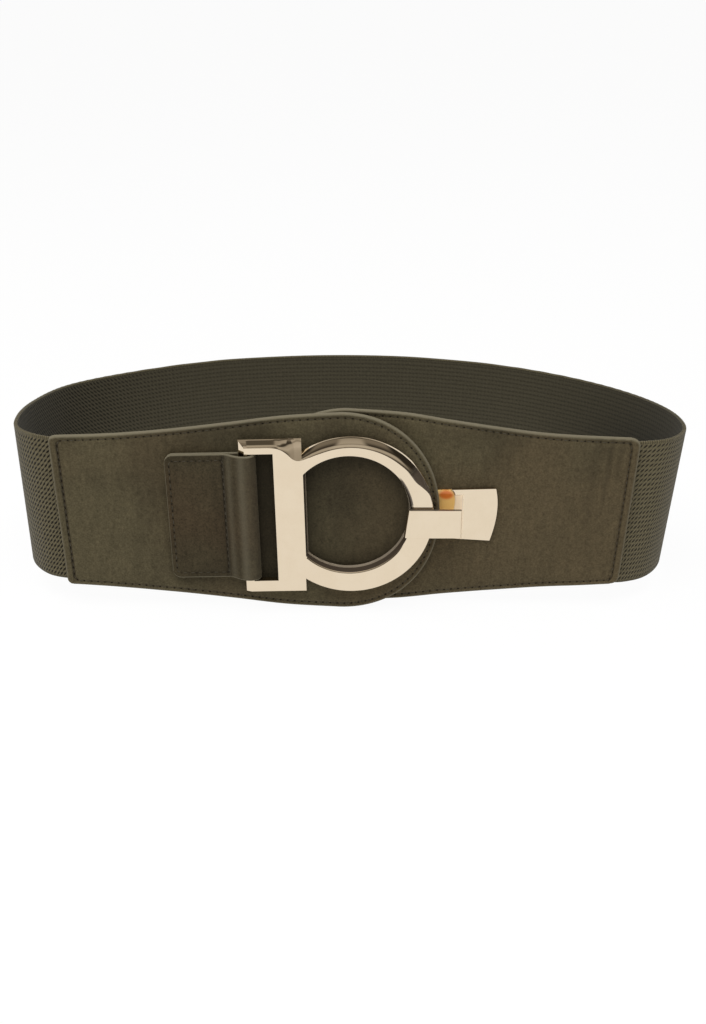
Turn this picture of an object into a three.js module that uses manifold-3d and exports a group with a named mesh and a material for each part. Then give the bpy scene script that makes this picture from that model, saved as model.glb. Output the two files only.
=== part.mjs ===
import * as THREE from 'three';
import { mergeVertices } from 'three/addons/utils/BufferGeometryUtils.js';
import Module from 'manifold-3d';

// A wide waist belt standing on its lower edge: two suede panels that overlap in front, an elastic
// band round the back, a cast ring buckle held by a suede tab, and a metal hook that grips the ring.
// Millimetres, +Z up, the buckle faces -Y. The panels lean back a little, so everything in front is
// made in a frame of its own: x to the right, z up the panel from its centreline, and "out" towards
// the viewer from the face of the left panel, which is -y.

// Driving dimensions
const gap = 0.3; // left between pieces that touch
const lean = THREE.MathUtils.degToRad(4);
const roll = THREE.MathUtils.degToRad(-1.1); // the buckle and its tab hang a degree off square

const panel = {
  thickness: 2.8,
  edgeRound: 0.8,
  cornerRadius: 2.4,
  slantFade: 40,
  tipFullness: 0.95, // 1 is a plain ellipse, less is fuller
};

// Left panel: its top and bottom edges above and below the centreline, and how far its face stands
// out, from the sewn end to the tip
const leftPanel = {
  side: 1,
  end: -121.2,
  endSlant: -0.035, // the sewn ends are not quite square
  widest: -5,
  tipReach: 40.3,
  outline: [
    { x: -121.2, top: 32.4, bottom: 33.3 }, { x: -98, top: 33.6, bottom: 34.2 },
    { x: -74, top: 35.7, bottom: 36.2 }, { x: -50, top: 38.5, bottom: 39.0 },
    { x: -28, top: 41.3, bottom: 41.8 }, { x: -5, top: 42.8, bottom: 43.1 },
  ],
  face: [
    { x: -121.2, out: -2.0 }, { x: -100, out: -0.5 }, { x: -80, out: 0 }, { x: -35, out: 0.1 },
    { x: 0, out: 0.5 }, { x: 15, out: 1.1 }, { x: 27, out: 1.5 }, { x: 35.3, out: 1.6 },
  ],
};

// Right panel: the same outline the other way round, its tip behind the left one
const rightPanel = {
  side: -1,
  end: 113.6,
  endSlant: 0.062,
  widest: -2,
  tipReach: 40,
  outline: [
    { x: 113.6, top: 31.4, bottom: 33.0 }, { x: 98, top: 32.2, bottom: 33.6 },
    { x: 78, top: 33.4, bottom: 34.6 }, { x: 57, top: 35.9, bottom: 36.6 },
    { x: 38, top: 38.6, bottom: 38.7 }, { x: 20, top: 41.5, bottom: 40.8 },
    { x: -2, top: 43.3, bottom: 41.7 },
  ],
  face: [
    { x: 113.6, out: -1.5 }, { x: 100, out: -0.8 }, { x: 84, out: -1.2 }, { x: 70, out: -1.7 },
    { x: 57, out: -2.4 }, { x: 44, out: -3.1 }, { x: 33, out: -3.7 }, { x: 15, out: -3.7 },
    { x: 0, out: -3.1 }, { x: -42, out: -3.0 },
  ],
};

const band = { width: 63, thickness: 1.6, tuck: 12, dropLeft: 0.5, dropRight: 2.3, steps: 84 };

// The free part of the band from the left panel round the back to the right one: the outer face's
// top edge, its bottom edge, and how high the bottom edge stands above the floor
const bandStations = [
  { xTop: -130.5, yTop: 9.6, xLow: -128.8, yLow: 4.9, low: 11.3 },
  { xTop: -138.6, yTop: 17.6, xLow: -137.1, yLow: 14.4, low: 11.0 },
  { xTop: -142.6, yTop: 34, xLow: -142.6, yLow: 33, low: 9.3 },
  { xTop: -143, yTop: 62, xLow: -143.6, yLow: 62, low: 5.0 },
  { xTop: -134.2, yTop: 91.4, xLow: -134.8, yLow: 92, low: 1.3 },
  { xTop: -107.4, yTop: 112.5, xLow: -107.6, yLow: 113.1, low: 0.16 },
  { xTop: -65.8, yTop: 129.6, xLow: -65.8, yLow: 130, low: 0.04 },
  { xTop: -18, yTop: 136.6, xLow: -18, yLow: 137, low: 0 },
  { xTop: 32, yTop: 133.8, xLow: 32, yLow: 134.2, low: 0.04 },
  { xTop: 77.4, yTop: 119.9, xLow: 77.4, yLow: 120.3, low: 0.16 },
  { xTop: 111.8, yTop: 97, xLow: 111.8, yLow: 97.2, low: 1.0 },
  { xTop: 132.3, yTop: 68.2, xLow: 131.7, yLow: 68.4, low: 3.6 },
  { xTop: 139.3, yTop: 38, xLow: 137.1, yLow: 38, low: 7.4 },
  { xTop: 137, yTop: 18.4, xLow: 132.4, yLow: 17, low: 9.0 },
  { xTop: 128.1, yTop: 8.4, xLow: 123.5, yLow: 5.6, low: 9.4 },
];

// Buckle: a rectangle for the tab and a round ring, cast as one plate with a rounded shoulder
const buckle = {
  z: 0.35,
  back: 2.1,
  face: 5.4,
  sideWall: 1.0,
  shoulderSteps: 4,
  left: -45.2,
  halfHeight: 33.25,
  ringX: -0.8,
  ringRadius: 33.75,
  faceRadius: 29.85,
  arcHalfAngle: 104,
  arcStep: 8,
  slotLeft: -41.2,
  slotRight: -31.4,
  slotHalfHeight: 27.75,
  holeBack: { left: -18.6, x: -1.8, z: 1.7, radius: 24.6 },
  holeFace: { left: -19.6, x: -1.4, z: 0.9, radius: 25.5 },
};

// Where the rectangle meets the ring: a point on the outer edge and its partner on the face, in the
// upper half; the lower half mirrors it
const valley = [
  { xEdge: buckle.left, zEdge: buckle.halfHeight, xFace: -43, zFace: 31 },
  { xEdge: -31, zEdge: buckle.halfHeight, xFace: -31.4, zFace: 30.7 },
  { xEdge: -25, zEdge: buckle.halfHeight, xFace: -28.2, zFace: 29.5 },
  { xEdge: -20, zEdge: buckle.halfHeight, xFace: -25.7, zFace: 27.5 },
  { xEdge: -19.9, zEdge: 30.5, xFace: -23.7, zFace: 25.4 },
  { xEdge: -19.6, zEdge: 28.2, xFace: -21.8, zFace: 24.6 },
  { xEdge: -18.6, zEdge: 28.67, xFace: -19.4, zFace: 25.5 },
  { xEdge: -16.2, zEdge: 30.03, xFace: -16.2, zFace: 26.7 },
  { xEdge: -12.4, zEdge: 31.69, xFace: -12.4, zFace: 27.5 },
];

// Tab: one strip of suede folded round the buckle's bar, its two layers sewn into a flat patch
const tab = { left: -75, seam: -52.2, z: 0.6, halfHeight: 27.2, layer: 1.3, back: 0.4, cornerRadius: 4 };

// Middle line of the strip from the seam over the bar and back underneath it
const tabLoop = [
  { x: -52.2, out: 2.35 }, { x: -49.4, out: 3.5 }, { x: -46.6, out: 5.3 }, { x: -43.6, out: 6.6 },
  { x: -40.5, out: 6.2 }, { x: -38.95, out: 3.9 }, { x: -39.7, out: 1.8 }, { x: -41.4, out: 1.1 },
  { x: -44, out: 1.05 },
];

// Hook: a flared plate lying on the right panel, and a tongue folded back over the ring
const tongue = {
  left: 21.35,
  right: 43.8,
  top: 3.8,
  bottom: -8.2,
  face: 7.3,
  thickness: 1.6,
  lipThickness: 1.0,
  lipEnd: 4.6,
  lipSlant: 0.108, // the lip follows the round of the ring
  bend: 1.5,
};
const hookPlate = {
  left: 26,
  rightTop: 58.1,
  rightMiddle: 60.6,
  rightBottom: 56.4,
  z: -1.1,
  halfLeft: 10.2,
  halfRight: 11.6,
  thickness: 1.4,
  outLeft: -2.0,
  outRight: -0.6,
};

// The panels stand on the bottom of the left one
const lowest = leftPanel.outline.at(-1).bottom;
const edgeDepth = panel.thickness - panel.edgeRound - leftPanel.face[4].out;
const centreHeight = lowest * Math.cos(lean) + edgeDepth * Math.sin(lean);

const wasm = await Module();
wasm.setup();

// Turns a merged mesh to face outwards, without the triangles that merging has emptied
function facingOut(geometry) {
  const position = geometry.attributes.position;
  const corner = (index) => new THREE.Vector3().fromBufferAttribute(position, index);
  const kept = [];
  let volume = 0;
  for (let i = 0; i < geometry.index.count; i += 3) {
    const [p, q, r] = [0, 1, 2].map((k) => geometry.index.getX(i + k));
    if (p === q || q === r || r === p) continue;
    volume += corner(p).dot(corner(q).cross(corner(r)));
    kept.push([p, q, r]);
  }
  geometry.setIndex(kept.flatMap(([p, q, r]) => (volume > 0 ? [p, q, r] : [p, r, q])));
  return geometry;
}

function closedGeometry(points, triangles) {
  const geometry = new THREE.BufferGeometry();
  const numbers = points.flatMap((p) => [p.x, p.y, p.z]);
  geometry.setAttribute('position', new THREE.Float32BufferAttribute(numbers, 3));
  geometry.setIndex(triangles.flat());
  return facingOut(mergeVertices(geometry, 1e-4));
}

function toManifold(geometry) {
  const bare = geometry.clone();
  ['normal', 'uv'].forEach((name) => bare.deleteAttribute(name));
  const merged = facingOut(mergeVertices(bare, 1e-4));
  return new wasm.Manifold(new wasm.Mesh({
    numProp: 3,
    vertProperties: new Float32Array(merged.attributes.position.array),
    triVerts: new Uint32Array(merged.index.array),
  }));
}

function fromManifold(solid) {
  const mesh = solid.getMesh();
  const geometry = new THREE.BufferGeometry();
  geometry.setAttribute('position', new THREE.Float32BufferAttribute(mesh.vertProperties, 3));
  geometry.setIndex([...mesh.triVerts]);
  return geometry;
}

// Joins loops of equally many points into a skin; the caller closes its two ends
function skinTriangles(loopCount, pointCount) {
  const triangles = [];
  for (let l = 0; l + 1 < loopCount; l++) {
    for (let i = 0; i < pointCount; i++) {
      const next = (i + 1) % pointCount;
      const [a, b] = [l * pointCount + next, l * pointCount + i];
      triangles.push([a, b, b + pointCount], [a, b + pointCount, a + pointCount]);
    }
  }
  return triangles;
}

// A cap over a loop of flat (x, z) points, wound as the loop runs
function capTriangles(loop, offset, reversed) {
  const flat = loop.map((p) => new THREE.Vector2(p.x, p.z));
  const loopTurn = Math.sign(THREE.ShapeUtils.area(flat));
  return THREE.ShapeUtils.triangulateShape(flat, []).map(([p, q, r]) => {
    const turn = Math.sign(THREE.ShapeUtils.area([flat[p], flat[q], flat[r]]));
    const forward = (turn === loopTurn) !== reversed;
    return (forward ? [p, q, r] : [p, r, q]).map((index) => index + offset);
  });
}

// An (x, z) outline given at several depths, as a solid: levels hold { loop, out }
function stackedSolid(levels) {
  const count = levels[0].loop.length;
  const points = levels.flatMap(({ loop, out }) => loop.map((p) => new THREE.Vector3(p.x, -out, p.z)));
  const first = capTriangles(levels[0].loop, 0, false);
  const last = capTriangles(levels.at(-1).loop, (levels.length - 1) * count, true);
  return closedGeometry(points, [...skinTriangles(levels.length, count), ...first, ...last]);
}

// An (x, out) profile pushed up from one z to another
function uprightSolid(shape, bottom, top) {
  const geometry = new THREE.ExtrudeGeometry(shape, { depth: top - bottom, bevelEnabled: false });
  const position = geometry.attributes.position;
  for (let i = 0; i < position.count; i++) {
    position.setXYZ(i, position.getX(i), -position.getY(i), bottom + position.getZ(i));
  }
  return geometry;
}

// The face of a panel at x: its rows joined by straight lines, eased over a short stretch
function faceOut({ face }, x) {
  const rows = [...face].sort((p, q) => p.x - q.x);
  const at = (place) => {
    const held = THREE.MathUtils.clamp(place, rows[0].x, rows.at(-1).x);
    const i = Math.max(1, rows.findIndex((row) => held <= row.x));
    const share = (held - rows[i - 1].x) / (rows[i].x - rows[i - 1].x);
    return THREE.MathUtils.lerp(rows[i - 1].out, rows[i].out, share);
  };
  const easing = [-8, -4, 0, 4, 8];
  const samples = easing.map((step) => at(x + step));
  return samples.reduce((sum, value) => sum + value, 0) / samples.length;
}

// From the front's own frame to the frame of the whole loop
const inFront = (x, out, z) => new THREE.Vector3(
  x,
  -out * Math.cos(lean) + z * Math.sin(lean),
  centreHeight + z * Math.cos(lean) + out * Math.sin(lean),
);

// A panel as stations from the sewn end to the tip, each with its top and its bottom edge: the
// round corners, the long edges, and the full round of the tip
function panelStations({ side, end, widest, tipReach, outline }) {
  const stations = [];
  const cornerSteps = 4;
  for (let k = 0; k <= cornerSteps; k++) {
    const angle = (k / cornerSteps) * Math.PI / 2;
    const cut = panel.cornerRadius * (1 - Math.sin(angle));
    stations.push({
      x: end + side * panel.cornerRadius * (1 - Math.cos(angle)),
      top: outline[0].top - cut,
      bottom: outline[0].bottom - cut,
    });
  }
  const edge = (column) => new THREE.SplineCurve(outline.map((row) => new THREE.Vector2(row.x, row[column])));
  const edgeSteps = 26;
  const [topEdge, bottomEdge] = [edge('top'), edge('bottom')];
  for (let k = 0; k <= edgeSteps; k++) {
    const p = topEdge.getPoint(k / edgeSteps);
    const pastCorner = side * (p.x - end) > panel.cornerRadius + 1;
    if (pastCorner) stations.push({ x: p.x, top: p.y, bottom: bottomEdge.getPoint(k / edgeSteps).y });
  }
  const tipSteps = 16;
  const { top, bottom } = outline.at(-1);
  for (let k = 1; k < tipSteps; k++) {
    const angle = (k / tipSteps) * Math.PI / 2;
    const share = Math.cos(angle) ** panel.tipFullness;
    const reach = tipReach * Math.sin(angle) ** panel.tipFullness;
    stations.push({ x: widest + side * reach, top: top * share, bottom: bottom * share });
  }
  stations.push({ x: widest + side * tipReach, top: 0, bottom: 0 });
  return stations;
}

// The loop moved in by a distance, square to itself
function insetLoop(loop, side, distance) {
  return loop.map((p, i) => {
    const before = loop.at(i - 1);
    const after = loop[(i + 1) % loop.length];
    const run = new THREE.Vector2(after.x - before.x, after.z - before.z).normalize();
    return { x: p.x + side * run.y * distance, z: p.z - side * run.x * distance };
  });
}

function makePanel(shape) {
  const stations = panelStations(shape);
  const top = stations.map((s) => ({ x: s.x, z: s.top }));
  const bottom = stations.slice(0, -1).reverse().map((s) => ({ x: s.x, z: -s.bottom }));
  const loop = [...top, ...bottom];
  const { thickness, edgeRound } = panel;
  const roundSteps = [0, 0.5, 1].map((k) => ({
    inset: edgeRound * (1 - Math.sin(k * Math.PI / 2)),
    depth: edgeRound * (1 - Math.cos(k * Math.PI / 2)),
  }));
  const backSteps = [...roundSteps].reverse().map((s) => ({ inset: s.inset, depth: thickness - s.depth }));
  const levels = [...roundSteps, ...backSteps];
  const points = levels.flatMap(({ inset, depth }) => insetLoop(loop, shape.side, inset).map((p) => {
    const fade = Math.max(0, 1 - Math.abs(p.x - shape.end) / panel.slantFade);
    return new THREE.Vector3(p.x + shape.endSlant * p.z * fade, depth - faceOut(shape, p.x), p.z);
  }));
  const count = loop.length;
  const lastOffset = (levels.length - 1) * count;
  const caps = [];
  for (let i = 0; i + 1 < stations.length; i++) {
    const [a, b, c, d] = [i, i + 1, count - 2 - i, count - 1 - i];
    caps.push([a, b, c], [a, c, d]);
    caps.push([b, a, c].map((k) => k + lastOffset), [c, a, d].map((k) => k + lastOffset));
  }
  return closedGeometry(points, [...skinTriangles(levels.length, count), ...caps]);
}

// The band is a ruled strip between its top edge and its bottom edge. Both ends lie flat against
// the back of a panel, and the rest follows its stations.
function makeBand() {
  const tuckRow = (shape, drop, share) => {
    const x = shape.end + shape.side * band.tuck * (1 - share);
    const out = faceOut(shape, x) - panel.thickness - gap;
    return {
      top: inFront(x, out, band.width / 2 - drop),
      low: inFront(x, out, -band.width / 2 - drop),
    };
  };
  const shares = [0, 0.5, 1];
  const rows = [
    ...shares.map((share) => tuckRow(leftPanel, band.dropLeft, share)),
    ...bandStations.map((s) => ({
      top: new THREE.Vector3(s.xTop, s.yTop, s.low + band.width),
      low: new THREE.Vector3(s.xLow, s.yLow, s.low),
    })),
    ...shares.map((share) => tuckRow(rightPanel, band.dropRight, share)).reverse(),
  ];
  const topEdge = new THREE.CatmullRomCurve3(rows.map((row) => row.top));
  const lowEdge = new THREE.CatmullRomCurve3(rows.map((row) => row.low));
  const middle = (t) => topEdge.getPoint(t).add(lowEdge.getPoint(t)).multiplyScalar(0.5);
  const nearby = 0.002; // the stretch of curve that gives the direction at t
  const points = [];
  for (let i = 0; i <= band.steps; i++) {
    const t = i / band.steps;
    const run = middle(Math.min(1, t + nearby)).sub(middle(Math.max(0, t - nearby)));
    const top = topEdge.getPoint(t);
    const low = lowEdge.getPoint(t);
    const inwards = run.cross(top.clone().sub(low)).normalize().multiplyScalar(band.thickness);
    points.push(low, top, top.clone().add(inwards), low.clone().add(inwards));
  }
  const last = points.length - 4;
  const caps = [[0, 1, 2], [0, 2, 3], [last + 2, last + 1, last], [last + 3, last + 2, last]];
  return closedGeometry(points, [...skinTriangles(band.steps + 1, 4), ...caps]);
}

function makeTab() {
  const path = new THREE.SplineCurve(tabLoop.map((row) => new THREE.Vector2(row.x, row.out)));
  const steps = 22;
  const side = (distance) => path.getPoints(steps).map((p, i) => {
    const run = path.getTangent(i / steps);
    return new THREE.Vector2(p.x - run.y * distance, p.y + run.x * distance);
  });
  const { left, seam, back, layer } = tab;
  const outer = side(layer / 2);
  outer[0].set(seam, back + 2 * layer);
  outer.at(-1).y = back;
  const inner = side(-layer / 2);
  inner[0].set(seam, back + layer);
  inner.at(-1).y = back + layer;
  const profile = new THREE.Shape([
    new THREE.Vector2(left, back), new THREE.Vector2(left, back + 2 * layer), ...outer,
  ]);
  profile.holes.push(new THREE.Path(inner.reverse()));
  const [bottom, top] = [tab.z - tab.halfHeight, tab.z + tab.halfHeight];
  const strip = toManifold(uprightSolid(profile, bottom, top));

  // its two sewn corners are round
  const r = tab.cornerRadius;
  const far = buckle.slotRight;
  const corner = (z, start) => [0, 1, 2, 3].map((k) => {
    const angle = start - (k / 3) * Math.PI / 2;
    return { x: left + r + r * Math.cos(angle), z: z + r * Math.sin(angle) };
  });
  const outline = [
    ...corner(bottom + r, 1.5 * Math.PI), ...corner(top - r, Math.PI),
    { x: far, z: top }, { x: far, z: bottom },
  ];
  const pastLoop = 12; // out beyond the loop's crest
  const front = stackedSolid([{ loop: outline, out: 0 }, { loop: outline, out: pastLoop }]);
  return fromManifold(strip.intersect(toManifold(front)));
}

function makeBuckle() {
  const { ringX, z } = buckle;
  const arc = [];
  for (let angle = buckle.arcHalfAngle; angle >= -buckle.arcHalfAngle; angle -= buckle.arcStep) {
    const [cos, sin] = [Math.cos, Math.sin].map((f) => f(THREE.MathUtils.degToRad(angle)));
    arc.push({
      xEdge: ringX + buckle.ringRadius * cos, zEdge: buckle.ringRadius * sin,
      xFace: ringX + buckle.faceRadius * cos, zFace: buckle.faceRadius * sin,
    });
  }
  const lower = [...valley].reverse().map((p) => ({ ...p, zEdge: -p.zEdge, zFace: -p.zFace }));
  const pairs = [...valley, ...arc, ...lower];
  const between = (share) => pairs.map((p) => ({
    x: THREE.MathUtils.lerp(p.xEdge, p.xFace, share),
    z: z + THREE.MathUtils.lerp(p.zEdge, p.zFace, share),
  }));
  const levels = [{ loop: between(0), out: buckle.back }];
  const shoulderHeight = buckle.face - buckle.back - buckle.sideWall;
  for (let k = 0; k <= buckle.shoulderSteps; k++) {
    const angle = (k / buckle.shoulderSteps) * Math.PI / 2;
    const out = buckle.back + buckle.sideWall + shoulderHeight * Math.sin(angle);
    levels.push({ loop: between(1 - Math.cos(angle)), out });
  }
  const plate = toManifold(stackedSolid(levels));

  const over = 1; // the cutters run past both faces
  const slotLoop = [
    { x: buckle.slotLeft, z: z - buckle.slotHalfHeight },
    { x: buckle.slotLeft, z: z + buckle.slotHalfHeight },
    { x: buckle.slotRight, z: z + buckle.slotHalfHeight },
    { x: buckle.slotRight, z: z - buckle.slotHalfHeight },
  ];
  const slot = stackedSolid([
    { loop: slotLoop, out: buckle.back - over },
    { loop: slotLoop, out: buckle.face + over },
  ]);

  // the ring's opening narrows towards the back
  const holeLoop = (share) => {
    const [left, middleX, middleZ, radius] = ['left', 'x', 'z', 'radius'].map(
      (size) => THREE.MathUtils.lerp(buckle.holeBack[size], buckle.holeFace[size], share),
    );
    const start = Math.acos((left - middleX) / radius);
    const steps = 30;
    return Array.from({ length: steps + 1 }, (_, k) => {
      const angle = start * (1 - 2 * k / steps);
      return { x: middleX + radius * Math.cos(angle), z: middleZ + radius * Math.sin(angle) };
    });
  };
  const extra = over / (buckle.face - buckle.back);
  const hole = stackedSolid([
    { loop: holeLoop(-extra), out: buckle.back - over },
    { loop: holeLoop(1 + extra), out: buckle.face + over },
  ]);
  return fromManifold(plate.subtract(toManifold(slot)).subtract(toManifold(hole)));
}

function plateOut(x) {
  const share = (x - hookPlate.left) / (hookPlate.rightTop - hookPlate.left);
  return THREE.MathUtils.lerp(hookPlate.outLeft, hookPlate.outRight, share);
}

// The tongue from the side, as an (x, out) profile: the lip inside the ring, the flat over the
// ring, and the leg that comes down to the plate
function tongueProfile() {
  const { left, right, face, thickness, lipThickness, lipEnd, bend } = tongue;
  const foot = plateOut(right) - hookPlate.thickness / 2;
  const round = (x, out, radius, start) => [0, 1, 2, 3].map((k) => {
    const angle = THREE.MathUtils.degToRad(start - 30 * k);
    return new THREE.Vector2(x + radius * Math.cos(angle), out + radius * Math.sin(angle));
  });
  return new THREE.Shape([
    new THREE.Vector2(left, lipEnd),
    ...round(left + bend, face - bend, bend, 180),
    ...round(right - bend, face - bend, bend, 90),
    new THREE.Vector2(right, foot),
    new THREE.Vector2(right - thickness, foot),
    new THREE.Vector2(right - thickness, face - thickness),
    new THREE.Vector2(left + lipThickness, face - thickness),
    new THREE.Vector2(left + lipThickness, lipEnd),
  ]);
}

function makeHook() {
  const tongueGeometry = uprightSolid(tongueProfile(), tongue.bottom, tongue.top);
  const position = tongueGeometry.attributes.position;
  const middle = (tongue.top + tongue.bottom) / 2;
  for (let i = 0; i < position.count; i++) {
    const x = position.getX(i);
    if (x < tongue.left + 2 * tongue.bend) {
      position.setX(i, x + tongue.lipSlant * (position.getZ(i) - middle));
    }
  }

  const { left, rightTop, rightMiddle, rightBottom, z, halfLeft, halfRight, thickness } = hookPlate;
  const roundEnd = new THREE.QuadraticBezierCurve(
    new THREE.Vector2(rightTop, z + halfRight),
    new THREE.Vector2(rightMiddle, z + halfRight / 6),
    new THREE.Vector2(rightBottom, z - halfRight),
  ).getPoints(8);
  const loop = [
    { x: left, z: z - halfLeft }, { x: left, z: z + halfLeft }, ...roundEnd.map((p) => ({ x: p.x, z: p.y })),
  ];
  const plateGeometry = stackedSolid([{ loop, out: 0 }, { loop, out: -thickness }]);
  const platePosition = plateGeometry.attributes.position;
  for (let i = 0; i < platePosition.count; i++) {
    platePosition.setY(i, platePosition.getY(i) - plateOut(platePosition.getX(i)));
  }
  return fromManifold(toManifold(tongueGeometry).add(toManifold(plateGeometry)));
}

const suede = new THREE.MeshStandardMaterial({ color: 0x514a38, roughness: 0.95 });
const elastic = new THREE.MeshStandardMaterial({ color: 0x5c5646, roughness: 0.9 });
const paleGold = new THREE.MeshStandardMaterial({ color: 0xe3cda6, roughness: 0.12, metalness: 1 });

function named(name, geometry, material) {
  const mesh = new THREE.Mesh(geometry, material);
  mesh.name = name;
  return mesh;
}

const fastening = new THREE.Group();
fastening.rotation.y = roll;
fastening.add(named('buckle_tab', makeTab(), suede), named('buckle_ring', makeBuckle(), paleGold));

const frontPieces = new THREE.Group();
frontPieces.position.z = centreHeight;
frontPieces.rotation.x = -lean;
frontPieces.add(
  named('left_panel', makePanel(leftPanel), suede),
  named('right_panel', makePanel(rightPanel), suede),
  named('hook', makeHook(), paleGold),
  fastening,
);

const belt = new THREE.Group();
belt.add(named('elastic_band', makeBand(), elastic), frontPieces);

// The frame's origin is on the floor under the middle of the whole loop
const centre = new THREE.Box3().setFromObject(belt, true).getCenter(new THREE.Vector3());
belt.position.set(-centre.x, -centre.y, 0);

export default belt;
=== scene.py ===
import math

import bmesh
import bpy
import numpy as np
from mathutils import Matrix, Vector


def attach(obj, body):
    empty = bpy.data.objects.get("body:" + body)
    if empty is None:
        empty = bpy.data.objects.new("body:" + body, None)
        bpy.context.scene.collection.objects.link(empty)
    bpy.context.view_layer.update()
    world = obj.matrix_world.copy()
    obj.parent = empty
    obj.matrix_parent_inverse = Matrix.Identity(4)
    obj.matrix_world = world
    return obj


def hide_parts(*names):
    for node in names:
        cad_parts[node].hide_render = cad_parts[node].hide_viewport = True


# A wide waist belt standing on its lower edge, seen from in front and a little above.
# Sizes are in millimetres, as in the part's own source; meshes are turned into metres as they are made.

mm = 0.001
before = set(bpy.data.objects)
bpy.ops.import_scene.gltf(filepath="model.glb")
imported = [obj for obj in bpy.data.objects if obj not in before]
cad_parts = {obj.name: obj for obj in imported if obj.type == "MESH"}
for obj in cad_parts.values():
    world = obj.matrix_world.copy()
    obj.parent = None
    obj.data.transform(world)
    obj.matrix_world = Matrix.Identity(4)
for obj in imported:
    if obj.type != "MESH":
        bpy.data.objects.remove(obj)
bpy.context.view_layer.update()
scene = bpy.context.scene

front = {
    "lean": math.radians(4),  # the panels lean back
    "roll": math.radians(-1.1),  # the buckle and its tab hang a degree off square
    "centreHeight": 43.0996,
    "middleX": -2.3711,  # middle of the whole loop, measured in the front's own frame
    "middleY": 64.0336,
}

# camera
camera = {
    "tilt": math.radians(63),
    "lens": 41.34,
    "film": 36,  # on the long side of the picture
    "back": 428,
    "above": 218.6,
}
cameraData = bpy.data.cameras.new("camera")
cameraData.sensor_fit = "VERTICAL"
cameraData.sensor_height = camera["film"]
cameraData.lens = camera["lens"]
cameraObject = bpy.data.objects.new("camera", cameraData)
cameraObject.location = Vector((
    -front["middleX"], -front["middleY"] - camera["back"], front["centreHeight"] + camera["above"],
)) * mm
cameraObject.rotation_euler = (camera["tilt"], 0, 0)
scene.collection.objects.link(cameraObject)
scene.camera = cameraObject

# the front's own frame is (x, -out, z), out being towards the viewer from the left panel's face
frontMatrix = (
    Matrix.Translation(Vector((-front["middleX"], -front["middleY"], front["centreHeight"])) * mm)
    @ Matrix.Rotation(-front["lean"], 4, "X")
)
buckleMatrix = frontMatrix @ Matrix.Rotation(front["roll"], 4, "Y")
print("camera set")


# small mesh helpers
def meshObject(name, points, faces, material=None, matrix=None, smooth=True):
    mesh = bpy.data.meshes.new(name)
    mesh.from_pydata((np.asarray(points, float) * mm).tolist(), [], [tuple(f) for f in faces])
    if matrix is not None:
        mesh.transform(matrix)
    mesh.update()
    if smooth:
        mesh.polygons.foreach_set("use_smooth", [True] * len(mesh.polygons))
    obj = bpy.data.objects.new(name, mesh)
    scene.collection.objects.link(obj)
    if material is not None:
        mesh.materials.append(material)
    return obj


def faceOutwards(obj):
    bm = bmesh.new()
    bm.from_mesh(obj.data)
    bmesh.ops.recalc_face_normals(bm, faces=bm.faces)
    bm.to_mesh(obj.data)
    bm.free()


def bakeModifiers(obj):
    bpy.context.view_layer.update()
    graph = bpy.context.evaluated_depsgraph_get()
    baked = bpy.data.meshes.new_from_object(obj.evaluated_get(graph))
    obj.modifiers.clear()
    old = obj.data
    obj.data = baked
    baked.name = obj.name
    bpy.data.meshes.remove(old)


def combine(obj, others, operation):
    for other in others:
        step = obj.modifiers.new("combine", "BOOLEAN")
        step.operation = operation
        step.solver = "EXACT"
        step.object = other
    bakeModifiers(obj)
    for other in others:
        data = other.data
        bpy.data.objects.remove(other)
        bpy.data.meshes.remove(data)


def weightNormals(obj):
    weighted = obj.modifiers.new("weighted normals", "WEIGHTED_NORMAL")
    weighted.keep_sharp = True
    bakeModifiers(obj)


def softenEdges(obj, width, segments, angle):
    bevel = obj.modifiers.new("bevel", "BEVEL")
    bevel.width = width * mm
    bevel.segments = segments
    bevel.limit_method = "ANGLE"
    bevel.angle_limit = math.radians(angle)
    bevel.harden_normals = True
    weightNormals(obj)


def crispEdges(obj, angle):
    # smooth shading that breaks only where the surface really turns
    obj.data.set_sharp_from_angle(angle=math.radians(angle))
    weightNormals(obj)


def ringQuads(rings, count, start=0):
    # quads between rings of equally many points
    faces = []
    for ring in range(rings - 1):
        for i in range(count):
            a = start + ring * count + i
            b = start + ring * count + (i + 1) % count
            faces.append((a, b, b + count, a + count))
    return faces


def endCaps(rings, count, start=0):
    last = start + (rings - 1) * count
    return [tuple(reversed(range(start, start + count))), tuple(range(last, last + count))]


def loftObject(name, loops):
    # loops of equally many (x, -out, z) points, closed by an n-gon at each end
    rings, count = len(loops), len(loops[0])
    points = [p for loop in loops for p in loop]
    obj = meshObject(name, points, ringQuads(rings, count) + endCaps(rings, count))
    faceOutwards(obj)
    return obj


def millimetres(obj):
    # x, -out and z of every vertex
    place = np.empty(len(obj.data.vertices) * 3)
    obj.data.vertices.foreach_get("co", place)
    return (place.reshape(-1, 3) / mm).T


def dress(obj, material, matrix):
    obj.data.transform(matrix)
    obj.data.materials.clear()
    obj.data.materials.append(material)


def splineThrough(rows, t):
    rows = np.asarray(rows, float)
    t = np.asarray(t, float)
    last = len(rows) - 1
    p = last * t
    i = np.clip(np.floor(p).astype(int), 0, last)
    w = (p - i)[:, None]
    a, b = rows[np.maximum(i - 1, 0)], rows[i]
    c, d = rows[np.minimum(i + 1, last)], rows[np.minimum(i + 2, last)]
    v0, v1 = (c - a) * 0.5, (d - b) * 0.5
    return (2 * b - 2 * c + v0 + v1) * w**3 + (-3 * b + 3 * c - 2 * v0 - v1) * w**2 + v0 * w + b


def smoothStep(low, high, x):
    t = np.clip((x - low) / (high - low), 0, 1)
    return t * t * (3 - 2 * t)


def softLines(x, rows):
    # rows of place, width and share, each a soft line across x
    return sum(share * np.exp(-(((x - place) / width) ** 2)) for place, width, share in rows)


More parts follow.
